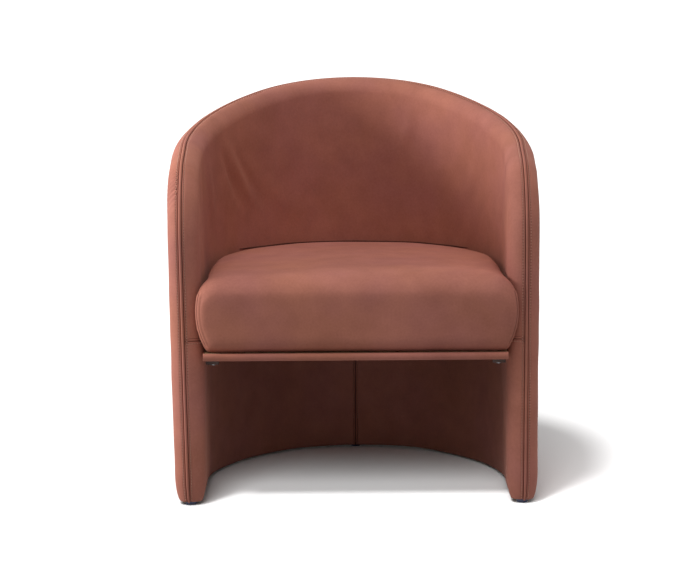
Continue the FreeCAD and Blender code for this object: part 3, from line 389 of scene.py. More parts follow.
def waves(points, length, seed):
    """Smooth unevenness between about -1 and 1: a sum of plane waves of about that length."""
    draw = np.random.default_rng(seed)
    direction = draw.normal(size=(9, 3))
    direction /= np.linalg.norm(direction, axis=1, keepdims=True)
    pitch = 2 * np.pi / (length * draw.uniform(0.7, 1.5, 9))
    phase = draw.uniform(0, 2 * np.pi, 9)
    return np.sin(points @ (direction * pitch[:, None]).T + phase).sum(-1) / 4.5


def add_piece(name, grids, material):
    """One mesh from grids, welded where they meet, with every face outwards and the painted shade kept on its
    points.
    """
    faces, start = [], 0
    for grid in grids:
        rows, columns = grid.points.shape[:2]
        index = start + np.arange(rows * columns).reshape(rows, columns)
        quads = np.stack([index[:-1, :-1], index[:-1, 1:], index[1:, 1:], index[1:, :-1]], -1)
        across = grid.points[:-1, 1:] - grid.points[:-1, :-1]
        up = grid.points[1:, :-1] - grid.points[:-1, :-1]
        facing = np.einsum("ijk,ijk->", np.cross(across, up), grid.normals[:-1, :-1])
        quads = quads if facing > 0 else quads[..., ::-1]
        faces.append(quads.reshape(-1, 4))
        start += rows * columns
    mesh = bpy.data.meshes.new(name)
    points = np.concatenate([grid.points.reshape(-1, 3) for grid in grids])
    depths = np.concatenate([grid.painted_shade.ravel() for grid in grids])
    mesh.from_pydata(points, [], np.concatenate(faces))
    painted_shade = mesh.attributes.new("painted_shade", "FLOAT", "POINT")
    painted_shade.data.foreach_set("value", depths.astype(np.float32))
    work = bmesh.new()
    work.from_mesh(mesh)
    bmesh.ops.remove_doubles(work, verts=work.verts, dist=2e-5)
    work.to_mesh(mesh)
    work.free()
    mesh.shade_smooth()
    mesh.materials.append(material)
    piece = bpy.data.objects.new(name, mesh)
    bpy.context.scene.collection.objects.link(piece)
    return piece


def thicken(piece):
    """Leather thickness, on the inside of the surface."""
    solid = piece.modifiers.new("Leather", "SOLIDIFY")
    solid.thickness = LEATHER
    solid.offset = -1
    return piece


leather, shader, place = new_material("nubuck_leather", sheen_weight=0.05, sheen_roughness=0.5)
shader.inputs["Sheen Tint"].default_value = (1.0, 0.70, 0.55, 1)
shader.inputs["Specular IOR Level"].default_value = 0.14
clouds = place.noise(4.5, 4.0).spread(0.30, 0.70)
blotches = place.noise(22.0, 5.0).spread(0.30, 0.70)
speckle = place.noise(240.0, 4.0).spread(0.30, 0.70)
grain = place.noise(900.0, 3.0)
pores = place.node("ShaderNodeTexVoronoi", {}, {"Vector": place, "Scale": 700.0})
nap = clouds * 0.40 + blotches * 0.35 + speckle * 0.25
warm = nap.colours((0.335, 0.122, 0.080, 1), (0.490, 0.186, 0.128, 1))
cool = nap.colours((0.325, 0.117, 0.092, 1), (0.475, 0.180, 0.140, 1))
tone = place.noise(7.0, 3.0).spread(0.35, 0.65).colours(warm, cool)
# Painted shade: the colour darkens with the depth kept on each point, in the seam grooves, in the valleys of
# the gathers and on the strip in the seat crevice.
depth = place.node("ShaderNodeAttribute", {"attribute_name": "painted_shade"}, {}, output="Fac")
depth.spread(0.0003, 0.0022).colours(tone, (0.085, 0.028, 0.020, 1)).feed(shader.inputs["Base Color"])
(0.80 - nap * 0.12).feed(shader.inputs["Roughness"])
skin = grain * 0.45 + pores * 0.35 + place.noise(160.0, 4.0) * 1.1
skin.bump(0.00035, 0.5).feed(shader.inputs["Normal"])


def outer_cover(name, left):
    """One half of the outside: rows up to the front corner, columns up to the rim, and the rounded edges."""
    dip = seam_dip(CENTRE_BACK - sweep_columns)
    reach = SEAM_OUTER - np.concatenate([np.linspace(SEAM_OUTER, NEAR_SEAM[-1], 7)[:-1], NEAR_SEAM[::-1]])
    tuck = seam_dip(SEAM_OUTER - reach)
    _, drop, _ = rim_section(np.zeros(1), rim.tilt)
    column_run, column_top = rim.run + rim.in_run * drop, rim.level + rim.in_level * drop
    column_dip = np.concatenate([np.zeros(len(rim.run) - len(dip)), dip])
    levels = np.linspace(HEM_LEVEL + HEM_RISE, CORNER_LEVEL, 80)
    limit = HEM_TURN + (np.pi / 2 - HEM_TURN) * np.clip((column_run.T - RIM_RADIUS) / 0.03, 0, 1)
    upper_levels = CORNER_LEVEL + np.linspace(0, 1, 34) * (column_top - CORNER_LEVEL)
    grids = [
        wall_grid(column_run.T, levels[:, None], 0.0, 1).pressed(column_dip).hemmed(limit),
        front_line(levels).grid(reach).pressed(tuck).hemmed(HEM_TURN),
        wall_grid(column_run, upper_levels, 0.0, 1).pressed(column_dip[:, None]),
        rim.grid(reach).pressed(tuck + column_dip[:, None]),
    ]
    dressed = []
    for grid in grids:
        grid = grid.mirrored() if left else grid
        swell = 0.0009 * waves(grid.points, 0.20, 3) + 0.0004 * waves(grid.points, 0.07, 4)
        if left:
            _, y, z = np.moveaxis(grid.points, -1, 0)
            depth = y - ARM_FRONT
            gather = np.exp(-((z - GATHER_LEVEL) / 0.045) ** 2 - ((depth - 0.05) / 0.06) ** 2)
            phase = (z + 2.0 * depth) / GATHER_PITCH + 0.25 * waves(grid.points, 0.05, 6)
            fold = gather * np.sin(2 * np.pi * phase)
            # Painted shade in the valleys of the gathers, where the leather sinks in.
            grid = Grid(grid.points, grid.normals, grid.painted_shade + 0.0016 * np.clip(fold, 0, 1) ** 3)
            swell = swell - 0.0020 * fold
        dressed.append(grid.swollen(swell).settled())
    piece = thicken(add_piece(name, dressed, leather))
    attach(piece, "root")
    return piece


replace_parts(outer_cover("leather_outer_left", True), "outer_cover_left", "outer_padding")
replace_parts(outer_cover("leather_outer_right", False), "outer_cover_right")


# Back cover: the one-piece inside of back and arms, from the rim seam down to the seam below the seat.
# Soft folds lie across its left side, where the leather goes round the bend, and fainter ones on the right.
def crease(points, start, end, width):
    """A ridge along the straight line between two points, fading across it and towards its ends."""
    start, end = np.array(start), np.array(end)
    share = (points - start) @ (end - start) / np.sum((end - start) ** 2)
    nearest = start + np.clip(share, 0, 1)[..., None] * (end - start)
    distance = np.linalg.norm(points - nearest, axis=-1)
    return np.exp(-(distance / width) ** 2) * np.clip(1.2 - 1.9 * np.abs(share - 0.5), 0, 1)


def inner_spot(side, run, level):
    """A point on the inner face of the wall: side -1 is the left half, 1 the right one."""
    x, y, _, _ = plan(np.array(run), WALL)
    return side * float(x), float(y), level


# Each fold: its upper end, its lower end, its half width and its height.
FOLDS = [
    (inner_spot(-1, 0.395, 0.660), inner_spot(-1, 0.480, 0.545), 0.010, -0.0042),
    (inner_spot(-1, 0.425, 0.668), inner_spot(-1, 0.520, 0.543), 0.012, 0.0052),
    (inner_spot(-1, 0.465, 0.655), inner_spot(-1, 0.565, 0.540), 0.012, -0.0034),
    (inner_spot(-1, 0.300, 0.640), inner_spot(-1, 0.345, 0.520), 0.016, 0.0030),
    (inner_spot(-1, 0.560, 0.600), inner_spot(-1, 0.680, 0.500), 0.018, 0.0018),
    (inner_spot(1, 0.430, 0.650), inner_spot(1, 0.470, 0.560), 0.014, 0.0016),
    (inner_spot(1, 0.665, 0.735), inner_spot(1, 0.700, 0.630), 0.011, 0.0024),
    (inner_spot(1, 0.640, 0.720), inner_spot(1, 0.668, 0.620), 0.012, -0.0014),
]
INNER_ROUNDING = 0.052
inner_share = np.concatenate([NEAR_SEAM / INNER_ROUNDING, np.linspace(0.28, 1, 15)])
inner_reach = SEAM_INNER + inner_share * (RIM_END - SEAM_INNER)
seam_fall = seam_dip(inner_share * INNER_ROUNDING)
_, inner_drop, _ = rim_section(RIM_END, rim.tilt)
inner_run, inner_top = rim.run + rim.in_run * inner_drop, rim.level + rim.in_level * inner_drop


def inner_low(levels, dip):
    """Wall and front rounding of the inside, at levels below the front corner."""
    wall = wall_grid(inner_run.T, levels[:, None], WALL, -1)
    front = front_line(levels).grid(inner_reach)
    return wall.pressed(dip[:, None]), front.pressed(dip[:, None] + seam_fall)


levels = np.concatenate([COVER_SEAM + NEAR_SEAM, np.linspace(COVER_SEAM + 0.017, CORNER_LEVEL, 36)])
wall_share = np.linspace(0, 1, 34)
half = [
    *inner_low(levels, 0.6 * seam_dip(levels - COVER_SEAM)),
    wall_grid(inner_run, CORNER_LEVEL + wall_share * (inner_top - CORNER_LEVEL), WALL, -1),
    rim.grid(inner_reach).pressed(seam_fall),
]
dressed = []
for grid in half + [grid.mirrored() for grid in half]:
    swell = 0.0010 * waves(grid.points, 0.22, 11) + 0.0004 * waves(grid.points, 0.08, 12)
    for start, end, width, height in FOLDS:
        swell = swell + height * crease(grid.points, start, end, width)
    dressed.append(grid.swollen(swell).settled())
back = thicken(add_piece("leather_back", dressed, leather))
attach(back, "root")
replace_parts(back, "back_cover", "arm_foam_left", "arm_foam_right", "back_foam")


# Lower covers: the inside under the seat, in two halves that meet in an upright seam at the centre back.
# They hang from the seam below the seat and are tucked under the wall like the outer covers.
def lower_cover(name, left):
    """One half of the inside under the seat: wall and front rounding, both hemmed."""
    levels = np.concatenate([
        np.linspace(HEM_LEVEL + HEM_RISE, COVER_SEAM - 0.017, 40), COVER_SEAM - NEAR_SEAM[::-1],
    ])
    wall, front = inner_low(levels, 0.6 * seam_dip(COVER_SEAM - levels))
    middle = seam_dip(np.maximum(CENTRE_BACK - inner_run.T, 0))
    limit = HEM_TURN + (np.pi / 2 - HEM_TURN) * np.clip((inner_run.T - RIM_RADIUS) / 0.03, 0, 1)
    dressed = []
    for grid in (wall.pressed(middle).hemmed(limit), front.hemmed(HEM_TURN)):
        grid = grid.mirrored() if left else grid
        swell = 0.0009 * waves(grid.points, 0.18, 21) + 0.0004 * waves(grid.points, 0.07, 22)
        dressed.append(grid.swollen(swell).settled())
    piece = thicken(add_piece(name, dressed, leather))
    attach(piece, "root")
    return piece


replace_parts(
    lower_cover("leather_lower_left", True), "lower_cover_left", "base_foam_left", "base_foam_back"
)
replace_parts(lower_cover("leather_lower_right", False), "lower_cover_right", "base_foam_right")

# Rim welt: a strip of leather sewn between outer and inner covers, standing slightly proud.
# It runs up one arm front, over the back and down the other in one length.
WELT_PROFILE = np.array([
    (-0.0030, -0.0030), (-0.0027, -0.0004), (-0.0020, 0.0010), (-0.0008, 0.0015), (0.0008, 0.0015),
    (0.0020, 0.0010), (0.0027, -0.0004), (0.0030, -0.0030), (0.0, -0.0034), (-0.0030, -0.0030),
])
SEAM_MIDDLE = (SEAM_OUTER + SEAM_INNER) / 2


def rim_strip(across, height):
    """A strip along the whole right rim, at places across the seam and heights above the covers."""
    front = front_line(np.linspace(HEM_LEVEL + HEM_RISE, CORNER_LEVEL, 80))
    foot = front.grid(SEAM_MIDDLE + across).hemmed(HEM_TURN)
    top = rim.grid(SEAM_MIDDLE + across)
    points = np.concatenate([foot.points[:-1], top.points])
    normals = np.concatenate([foot.normals[:-1], top.normals])
    return Grid(points + normals * height[:, None], normals)


def close_ends(piece):
    """Fills the open ends of a strip."""
    work = bmesh.new()
    work.from_mesh(piece.data)
    bmesh.ops.holes_fill(work, edges=[edge for edge in work.edges if edge.is_boundary], sides=0)
    work.to_mesh(piece.data)
    work.free()


strip = rim_strip(*WELT_PROFILE.T)
strip.points[-1, :, 0] = 0.0
half = Grid(strip.points, strip.points - strip.points.mean(axis=1, keepdims=True))
welt = add_piece("rim_welt_strip", [half.settled(), half.mirrored().settled()], leather)
close_ends(welt)
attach(welt, "root")
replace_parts(welt, "rim_welt")

# Stitches: rows of thread on both sides of the welt, beside the cover seams and down the centre back.
# Each is a short capsule of few faces, pressed into the leather.
STITCH_PITCH = 0.0056
STITCH_ROW = 0.0048
THREAD = 0.0010


def along_line(line, pitch):
    """Evenly spaced spots, directions and normals along a grid of one column."""
    points, normals = settle(line.points[:, 0]), line.normals[:, 0]
    step = np.linalg.norm(np.diff(points, axis=0), axis=1)
    length = np.concatenate([[0], np.cumsum(step)])
    spots = np.arange(pitch, length[-1] - pitch, pitch)
    place = np.stack([np.interp(spots, length, points[:, k]) for k in range(3)], -1)
    ahead = np.stack([np.interp(spots + pitch / 4, length, points[:, k]) for k in range(3)], -1)
    upward = np.stack([np.interp(spots, length, normals[:, k]) for k in range(3)], -1)
    direction = ahead - place
    direction /= np.linalg.norm(direction, axis=1, keepdims=True)
    upward /= np.linalg.norm(upward, axis=1, keepdims=True)
    return place, direction, upward


def stitch_row(line):
    """A capsule for each stitch: rings of five points along a flat arch, closed to a point at both ends."""
    place, direction, upward = along_line(line, STITCH_PITCH)
    spot, forward, up = place[:, None, None], direction[:, None, None], upward[:, None, None]
    sideways = np.cross(forward, up)
    station = np.array([-1.0, -0.85, 0.0, 0.85, 1.0])
    width = THREAD * np.array([0.05, 0.8, 1.0, 0.8, 0.05])
    angle = np.linspace(0, 2 * np.pi, 6)[:, None]
    length = (STITCH_PITCH * 0.28 * station + 0 * angle)[..., None]
    height = (THREAD * (0.35 - 0.9 * station ** 2) + width * np.sin(angle))[..., None]
    return spot + forward * length + sideways * (width * np.cos(angle))[..., None] + up * height


rows = [
    rim_strip(np.array([SEAM_OUTER - STITCH_ROW - SEAM_MIDDLE]), np.zeros(1)),
    rim_strip(np.array([SEAM_INNER + STITCH_ROW - SEAM_MIDDLE]), np.zeros(1)),
]
outside_levels = np.linspace(HEM_LEVEL + HEM_RISE, 0.74, 120)[:, None]
rows.append(wall_grid(np.array([[CENTRE_BACK - STITCH_ROW]]), outside_levels, 0.0, 1))
inside_levels = np.linspace(HEM_LEVEL + HEM_RISE, COVER_SEAM - 0.006, 60)[:, None]
inside_run = CENTRE_BACK - STITCH_ROW * BACK_RADIUS / (BACK_RADIUS - WALL)
rows.append(wall_grid(np.array([[inside_run]]), inside_levels, WALL, -1))
arm_reach = np.linspace(SEAM_INNER + 0.004, RIM_END, 30)
arm_row = front_line(np.array([COVER_SEAM - STITCH_ROW])).grid(arm_reach)
rows.append(Grid(arm_row.points.swapaxes(0, 1), arm_row.normals.swapaxes(0, 1)))
capsules = np.concatenate([stitch_row(line) for row in rows for line in (row, row.mirrored())])
thread, shader, place = new_material("thread", roughness=0.6)
twist = place.noise(2500.0, 1.0)
twist.colours((0.52, 0.23, 0.16, 1), (0.70, 0.36, 0.27, 1)).feed(shader.inputs["Base Color"])
cell = np.arange(30).reshape(6, 5)
quads = np.stack([cell[:-1, :-1], cell[:-1, 1:], cell[1:, 1:], cell[1:, :-1]], -1).reshape(-1, 4)
faces = quads + 30 * np.arange(len(capsules))[:, None, None]
mesh = bpy.data.meshes.new("rim_stitches")
mesh.from_pydata(capsules.reshape(-1, 3), [], faces.reshape(-1, 4))
work = bmesh.new()
work.from_mesh(mesh)
bmesh.ops.remove_doubles(work, verts=work.verts, dist=2e-6)
bmesh.ops.recalc_face_normals(work, faces=work.faces)
work.to_mesh(mesh)
work.free()
mesh.shade_smooth()
mesh.materials.append(thread)
stitching = bpy.data.objects.new("rim_stitches", mesh)
bpy.context.scene.collection.objects.link(stitching)
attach(stitching, "root")

# Seat cushion: one crowned form, wider in front than the gap between the arms, and close to the shell.
# A closed loft is filled out by cloth simulation, then kept clear of the shell.
SEAT_FRONT = ARM_FRONT - 0.025
SEAT_BACK = BACK_CENTRE + BACK_RADIUS - WALL - 0.0006
SEAT_BOTTOM = 0.3025
SEAT_CROWN = 0.456
SEAT_HALF = 0.3185
SEAT_SHIFT = 0.003
SEAT_WAIST = 0.384
SIDE_SWELL_RADIUS = 0.150
FRONT_ROLL = 0.042
LOWER_ROLL = 0.030
SHOULDER_RADIUS = 0.042
SHOULDER_TURN = 0.25
SEAT_GAP = 0.0008


def seat_half_width(y):
    """Half the room between the arms: it opens round the arm fronts and closes in towards the back."""
    depth = y - ARM_FRONT
    rolled = RIM_RADIUS ** 2 - np.clip(RIM_RADIUS - depth, 0, RIM_RADIUS) ** 2
    front = HALF_WIDTH - WALL + RIM_RADIUS - np.sqrt(rolled) + 0.3 * np.maximum(-depth, 0)
    side = np.clip(depth - STRAIGHT, 0, SIDE_RADIUS - WALL)
    side = HALF_WIDTH - SIDE_RADIUS + np.sqrt((SIDE_RADIUS - WALL) ** 2 - side ** 2)
    behind = np.clip(y - BACK_CENTRE, 0, BACK_RADIUS - WALL)
    back = np.sqrt((BACK_RADIUS - WALL) ** 2 - behind ** 2)
    turn_y = BACK_CENTRE + (BACK_RADIUS - WALL) * np.sin(SIDE_TURN)
    return np.where(depth < STRAIGHT, front, np.where(y < turn_y, side, back)) - SEAT_GAP


def rolled_in(y, radius):
    """How far a rounded front edge of that radius draws in at a depth."""
    return radius - np.sqrt(radius ** 2 - np.clip(radius - (y - SEAT_FRONT), 0, radius) ** 2)


def seat_loft():
    """Stations from front to back; each is the front-view outline, narrowed to the room there.

    The outline goes from the middle of the underside, up the swelling side, round the corner, to the crown.
    At the front it draws in as a quarter circle, of a larger radius above than below.
    """
    y = np.concatenate([
        SEAT_FRONT + FRONT_ROLL * (1 - np.cos(np.linspace(0.12, np.pi / 2, 16))),
        np.linspace(SEAT_FRONT + FRONT_ROLL + 0.008, BACK_CENTRE, 40),
        BACK_CENTRE + (SEAT_BACK - BACK_CENTRE) * np.sin(np.linspace(0.05, np.pi / 2, 26)),
    ])
    foot_turn = np.arcsin((SEAT_BOTTOM - SEAT_WAIST) / SIDE_SWELL_RADIUS)
    side_turn = np.linspace(foot_turn, SHOULDER_TURN, 16)
    side_x = SEAT_HALF - SIDE_SWELL_RADIUS * (1 - np.cos(side_turn))
    side_z = SEAT_WAIST + SIDE_SWELL_RADIUS * np.sin(side_turn)
    corner_turn = np.linspace(SHOULDER_TURN, 1.50, 12)[1:]
    corner_x = side_x[-1] + SHOULDER_RADIUS * (np.cos(corner_turn) - np.cos(SHOULDER_TURN))
    corner_z = side_z[-1] + SHOULDER_RADIUS * (np.sin(corner_turn) - np.sin(SHOULDER_TURN))
    top_x = np.linspace(corner_x[-1], 0, 32)[1:]
    top_z = SEAT_CROWN - (SEAT_CROWN - corner_z[-1]) * (top_x / corner_x[-1]) ** 2
    bottom_x = np.linspace(0, side_x[0], 24)[:-1]
    x = np.concatenate([bottom_x, side_x, corner_x, top_x])
    z = np.concatenate([0 * bottom_x + SEAT_BOTTOM, side_z, corner_z, top_z])
    middle = (y - SEAT_FRONT) / (SEAT_BACK - SEAT_FRONT) - 0.5
    fall = np.where(middle < 0, 0.006, 0.012) * (2 * middle) ** 2
    height = (z - SEAT_BOTTOM) / (SEAT_CROWN - SEAT_BOTTOM)
    narrow = 1 - 0.6 * rolled_in(y, FRONT_ROLL) / SEAT_HALF
    grid_x = np.minimum(x, seat_half_width(y)[:, None]) * narrow[:, None]
    lower, upper = rolled_in(y, LOWER_ROLL), rolled_in(y, FRONT_ROLL) + fall
    grid_z = z + lower[:, None] * (1 - height) ** 4 - upper[:, None] * height ** 2
    right = np.stack([grid_x, y[:, None] + 0 * x, grid_z], -1)
    left = right[:, ::-1] * np.array([-1.0, 1.0, 1.0])
    return np.concatenate([right, left[:, 1:]], axis=1)


loft = seat_loft()
rows, columns = loft.shape[:2]
index = np.arange(rows * columns).reshape(rows, columns)
quads = np.stack([index[:-1, :-1], index[:-1, 1:], index[1:, 1:], index[1:, :-1]], -1).reshape(-1, 4)
mesh = bpy.data.meshes.new("seat_cushion")
mesh.from_pydata(loft.reshape(-1, 3), [], [*quads.tolist(), index[0, :-1].tolist(), index[-1, :-1].tolist()])
work = bmesh.new()
work.from_mesh(mesh)
bmesh.ops.remove_doubles(work, verts=work.verts, dist=1e-5)
bmesh.ops.recalc_face_normals(work, faces=work.faces)
work.to_mesh(mesh)
work.free()
cushion = bpy.data.objects.new("seat_cushion", mesh)
bpy.context.scene.collection.objects.link(cushion)


def apply_modifiers(piece):
    """Keeps the evaluated mesh and drops the modifiers."""
    shaped = piece.evaluated_get(bpy.context.evaluated_depsgraph_get())
    old = piece.data
    piece.data = bpy.data.meshes.new_from_object(shaped)
    piece.modifiers.clear()
    bpy.data.meshes.remove(old)


def vertices_of(piece):
    """The piece's points as rows."""
    flat = np.empty(len(piece.data.vertices) * 3, np.float32)
    piece.data.vertices.foreach_get("co", flat)
    return flat.reshape(-1, 3).astype(float)


remesh = cushion.modifiers.new("Voxels", "REMESH")
remesh.mode = "VOXEL"
remesh.voxel_size = 0.0062
even = cushion.modifiers.new("Even", "SMOOTH")
even.iterations = 5
apply_modifiers(cushion)
before = vertices_of(cushion)
cloth = cushion.modifiers.new("Cloth", "CLOTH")
cloth.settings.use_pressure = True
cloth.settings.uniform_pressure_force = 4.0
cloth.settings.tension_stiffness = 12.0
cloth.settings.compression_stiffness = 12.0
cloth.settings.bending_stiffness = 6.0
cloth.settings.effector_weights.gravity = 0.0
cloth.point_cache.frame_end = 20
for moment in range(1, 21):
    bpy.context.scene.frame_set(moment)
apply_modifiers(cushion)
bpy.context.scene.frame_set(1)
swell = vertices_of(cushion) - before
ends = np.empty(len(cushion.data.edges) * 2, np.int32)
cushion.data.edges.foreach_get("vertices", ends)
ends = ends.reshape(-1, 2)
for _ in range(30):
    around = np.zeros_like(swell)
    np.add.at(around, ends[:, 0], swell[ends[:, 1]])
    np.add.at(around, ends[:, 1], swell[ends[:, 0]])
    swell = 0.4 * swell + 0.6 * around / np.bincount(ends.ravel())[:, None]
SWELL_LIMIT = 0.004
size = np.linalg.norm(swell, axis=1, keepdims=True)
after = before + swell * np.minimum(1, SWELL_LIMIT / np.maximum(size, 1e-9))
shoulder_fall = np.clip((after[:, 2] - 0.40) / 0.04, 0, 1)
shoulder_fall *= smooth_step((after[:, 1] - ARM_FRONT - 0.04) / 0.16)
room = np.maximum(seat_half_width(after[:, 1]) - np.abs(after[:, 0]), 0)
after[:, 2] -= 0.012 * shoulder_fall * np.clip(1 - room / 0.022, 0, 1) ** 2
after[:, 2] = np.clip(after[:, 2], SEAT_BOTTOM, SEAT_CROWN + 0.004)
after[:, 0] += SEAT_SHIFT * np.clip(1 - (after[:, 1] - ARM_FRONT) / 0.10, 0, 1)
after += 0.0006 * waves(after, 0.16, 31)[:, None] * np.array([0.0, -0.6, 1.0])
lean = settle(after)[:, 0] - after[:, 0]
half_room = seat_half_width(after[:, 1])
behind_arm = np.clip((after[:, 1] - ARM_FRONT) / 0.02, 0, 1)
after[:, 0] = np.clip(after[:, 0], lean * behind_arm - half_room, lean * behind_arm + half_room)
cushion.data.vertices.foreach_set("co", after.astype(np.float32).ravel())
cushion.data.update()
cushion.data.materials.clear()
cushion.data.materials.append(leather)
cushion.data.shade_smooth()
fine = cushion.modifiers.new("Fine", "SUBSURF")
fine.levels = 1
fine.render_levels = 1
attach(cushion, "root")
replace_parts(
    cushion, "seat_top_cover", "seat_side_cover_left", "seat_side_cover_right",
    "seat_foam_core", "seat_foam_topper",
)

# Seat seams: where the top panel meets the side panels, up both edges of the cushion's front.
# The leather rolls up on both sides of the thread, on a strip that follows the cushion's skin.
GUSSET = 0.008
SEAM_RISE = 0.0013
ROLL_PLACE = 0.0034
across_seam = np.array([0, 0.0004, 0.0010, 0.0018, 0.0026, 0.0036, 0.0046, 0.0058, 0.0070, 0.0084])
across_seam = np.concatenate([-across_seam[:0:-1], across_seam])
surface = BVHTree.FromObject(cushion, bpy.context.evaluated_depsgraph_get())


def seat_seam(side):
    """A strip over the front of the cushion, a gusset's width inside its outline.

    Its height over the skin rises from the thread to the roll and falls below the skin at both edges.
    """
    turn = np.linspace(-0.55, 0.42, 90)
    radius = SIDE_SWELL_RADIUS - GUSSET
    x = SEAT_SHIFT + side * (SEAT_HALF - 0.003 - GUSSET - radius * (1 - np.cos(turn)))
    z = SEAT_WAIST + radius * np.sin(turn)
    ahead = Vector((0, 1, 0))
    starts = [Vector((across, SEAT_FRONT - 0.1, level)) for across, level in zip(x, z)]
    hits = [surface.ray_cast(start, ahead)[:2] for start in starts]
    line, normal = (np.array([hit[k] for hit in hits if hit[0]]) for k in range(2))
    along = np.gradient(line, axis=0)
    sideways = np.cross(along, normal)
    sideways /= np.linalg.norm(sideways, axis=1, keepdims=True)
    spread = line[:, None] + sideways[:, None] * across_seam[:, None]
    near = [surface.find_nearest(Vector(spot))[:2] for spot in spread.reshape(-1, 3)]
    points, normals = (np.array([hit[k] for hit in near]).reshape(spread.shape) for k in range(2))
    away = np.abs(across_seam)
    inner, outer = np.sin(away / ROLL_PLACE * np.pi / 2), np.cos((away - ROLL_PLACE) / 0.0030)
    height = np.where(away < ROLL_PLACE, inner, outer)
    taper = np.minimum(1, np.minimum(np.arange(len(line)), np.arange(len(line))[::-1]) / 12)
    height = 0.0002 + SEAM_RISE * height * taper[:, None] - 0.0008 * (1 - taper[:, None])
    # Painted shade along the thread, in the groove between the two rolls.
    painted_shade = 0.0022 * np.exp(-(across_seam / 0.0009) ** 2)
    return Grid(points + normals * height[..., None], normals, painted_shade)


seams = add_piece("seat_seams", [seat_seam(-1), seat_seam(1)], leather)
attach(seams, "root")

# Seat crevice: painted shade in the fold between seat and backrest, just below the crest of the cushion.
# It is a narrow strip of leather on the inside of the shell, painted dark all over, hidden towards the arm
# fronts.
CREVICE_SHADE_TOP = -0.0004
CREVICE_SHADE_DEPTH = 0.0042


def seat_crevice_shade(side):
    """A strip along one half of the shell, just below the highest cushion point near each station.

    Near means at the wall itself on the sides, and as far as the crest of the cushion at the back.
    """
    run = np.linspace(0.47, CENTRE_BACK, 70)
    x, y, _, out_y = plan(run, WALL)
    upper = after[after[:, 2] > 0.40]
    away = np.hypot(upper[:, 0] * side - x[:, None], upper[:, 1] - y[:, None])
    crest = np.where(away < 0.009 + 0.021 * out_y[:, None], upper[:, 2], 0.40).max(axis=1)
    crest = np.convolve(np.pad(crest, 4, "edge"), np.full(9, 1 / 9), "valid")
    depth = np.minimum(CREVICE_SHADE_DEPTH, 0.06 * (run - run[0]) + 0.0005)
    level = crest + CREVICE_SHADE_TOP - depth * np.array([[1.0], [0.5], [0.0]])
    strip = wall_grid(run, level, WALL + 0.0014, -1)
    strip = strip if side > 0 else strip.mirrored()
    # The whole strip is painted as shade.
    return Grid(strip.points, strip.normals, 0.0022).settled()


# The strip of painted shade in the crevice, thickened like the covers.
joint = thicken(add_piece("seat_crevice_shade", [seat_crevice_shade(-1), seat_crevice_shade(1)], leather))
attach(joint, "root")

# Seat lip: a strip of leather along the lower front edge of the seat, turned under the board.
# Its face is slightly full, and at both ends it is folded over the end of the board.
LIP_HALF = 0.2924
LIP_SECTION = np.array([
    (-0.0045, 0.3020), (-0.0145, 0.3026), (-0.0168, 0.3010), (-0.0182, 0.2970), (-0.0178, 0.2922),
    (-0.0154, 0.2890), (-0.0110, 0.2880), (0.0070, 0.2882), (0.0070, 0.2897), (-0.0110, 0.2897),
    (-0.0045, 0.3020),
])
LIP_END = LIP_SECTION.copy()
LIP_END[7:10] = (0.0020, 0.2882), (0.0024, 0.2930), (0.0024, 0.2980)
LIP_END[[0, 10]] = (0.0020, 0.3022)
end = [LIP_HALF + 0.0016, LIP_HALF + 0.0010, LIP_HALF]
x = np.concatenate([-np.array(end), np.linspace(-LIP_HALF, LIP_HALF, 160), end[::-1]])
folded = np.array([1, 1, 1] + [0] * 160 + [1, 1, 1])[:, None]
section = np.where(folded[..., None] == 1, LIP_END, LIP_SECTION)
ripple = 0.0006 * waves(np.stack([x, 0 * x, 0 * x], -1), 0.05, 41)
lip_y = ARM_FRONT + section[..., 0] - ripple[:, None] * (section[..., 0] < -0.014)
lip_points = np.stack(np.broadcast_arrays(x[:, None], lip_y, section[..., 1]), -1)
core = np.stack(np.broadcast_arrays(x[:, None], ARM_FRONT - 0.012, 0.2955), -1)
lip = add_piece("seat_lip", [Grid(lip_points, lip_points - core)], leather)
close_ends(lip)
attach(lip, "root")
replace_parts(lip, "seat_front_lip")

# Dust cover: thin black cloth stapled under the seat board, sagging a little between its edges.
# It is cut to the inside of the cleats and the lip.
DUST_INSET = 0.0868
DUST_FRONT = ARM_FRONT + 0.009
DUST_LEVEL = 0.2892
run = np.linspace(0.009, CENTRE_BACK, 70)
edge_x, edge_y, _, _ = plan(run, DUST_INSET)
across = np.linspace(-1, 1, 61)
dust_x = edge_x[:, None] * across
dust_y = edge_y[:, None] + 0 * across
inside = np.minimum(1, np.minimum((1 - np.abs(across)) * edge_x[:, None], dust_y - DUST_FRONT) / 0.12)
sag = 0.006 * (1 - (1 - inside) ** 2)
dust_points = np.stack([dust_x, dust_y, DUST_LEVEL - sag], -1)
cloth, shader, place = new_material("dust_cloth", roughness=0.95)
weave = place.noise(1200.0, 2.0)
weave.colours((0.010, 0.010, 0.011, 1), (0.040, 0.038, 0.036, 1)).feed(shader.inputs["Base Color"])
weave.bump(0.0002).feed(shader.inputs["Normal"])
downwards = np.broadcast_to([0.0, 0.0, -1.0], dust_points.shape)
dust = add_piece("dust_sheet", [Grid(dust_points, downwards)], cloth)
dust_area = float(np.sum((edge_x[1:] + edge_x[:-1]) * np.diff(edge_y)))
dust_flat = (float(2 * edge_x.max()), float(edge_y[-1] - edge_y[0]))
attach(dust, "root")
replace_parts(dust, "dust_cover")

# Studio: a white floor, a soft key from the left and a soft top light for the chair, two lamps for the floor.
# The camera stands where the photo was taken from.
bpy.ops.mesh.primitive_plane_add(size=80.0)
floor = bpy.context.object
floor.name = "floor"


def shown(tree):
    """1 where a surface is seen directly, in a reflection or through glass, 0 for its scattered light."""
    path = tree.nodes.new("ShaderNodeLightPath")
    names = ("Is Camera Ray", "Is Glossy Ray", "Is Transmission Ray")
    direct, mirrored, through = (Field(tree, path.outputs[name]) for name in names)
    return direct.maths("MAXIMUM", direct, direct.maths("MAXIMUM", mirrored, through))


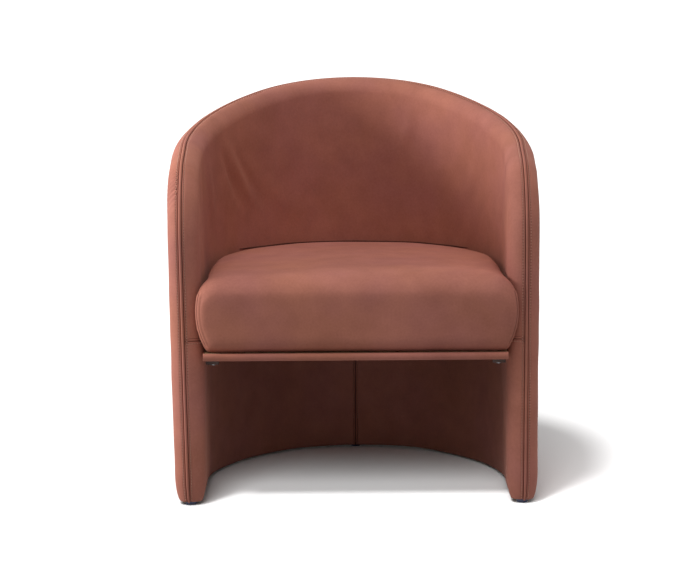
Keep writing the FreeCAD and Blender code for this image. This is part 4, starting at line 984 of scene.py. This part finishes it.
white, shader, place = new_material("white_floor", roughness=0.9)
shader.inputs["Specular IOR Level"].default_value = 0.0
floor_share = shown(white.node_tree)
floor_share.colours((0.30, 0.30, 0.30, 1), (0.98, 0.98, 0.98, 1)).feed(shader.inputs["Base Color"])
floor.data.materials.append(white)


def aim(light, place, floor_state):
    """A lamp aimed at the middle of the chair, that lights only the floor or all but the floor."""
    lamp = bpy.data.objects.new(light.name, light)
    lamp.location = place
    lamp.rotation_euler = (Vector((0.0, 0.0, 0.45)) - Vector(place)).to_track_quat("-Z", "Y").to_euler()
    bpy.context.scene.collection.objects.link(lamp)
    receivers = bpy.data.collections.new(light.name + "_receivers")
    receivers.objects.link(floor)
    receivers.collection_objects[0].light_linking.link_state = floor_state
    lamp.light_linking.receiver_collection = receivers


def sun(name, strength, angle):
    """A distant lamp; a wider angle gives softer shadows."""
    light = bpy.data.lights.new(name, "SUN")
    light.energy = strength
    light.angle = angle
    return light


softbox = bpy.data.lights.new("key", "AREA")
softbox.energy = 46.0
softbox.size = 0.75
aim(softbox, (-2.25, -0.33, 1.10), "EXCLUDE")
aim(sun("top", 1.40, 0.80), (0.0, -0.9, 5.0), "EXCLUDE")
aim(sun("floor_key", 2.1, 0.15), (-1.3, -2.4, 5.3), "INCLUDE")
aim(sun("floor_front", 2.1, 0.50), (-1.2, -6.2, 5.2), "INCLUDE")

world = bpy.data.worlds.new("room")
world.use_nodes = True
background = world.node_tree.nodes["Background"]
(shown(world.node_tree) * 0.63 + 0.37).feed(background.inputs["Strength"])
background.inputs["Color"].default_value = (1.0, 1.0, 1.0, 1)
bpy.context.scene.world = world

PITCH = 0.13846
ROLL = -0.007
camera = bpy.data.cameras.new("camera")
camera.lens = 150.5
camera.sensor_width = 36.0
camera.clip_end = 200.0
eye = bpy.data.objects.new("camera", camera)
eye.location = (-0.0102, ARM_FRONT - 5.57504, 1.19546)
eye.rotation_euler = (Matrix.Rotation(np.pi / 2 - PITCH, 3, "X") @ Matrix.Rotation(ROLL, 3, "Z")).to_euler()
bpy.context.scene.collection.objects.link(eye)
bpy.context.scene.camera = eye
bpy.context.scene.view_settings.view_transform = "Standard"
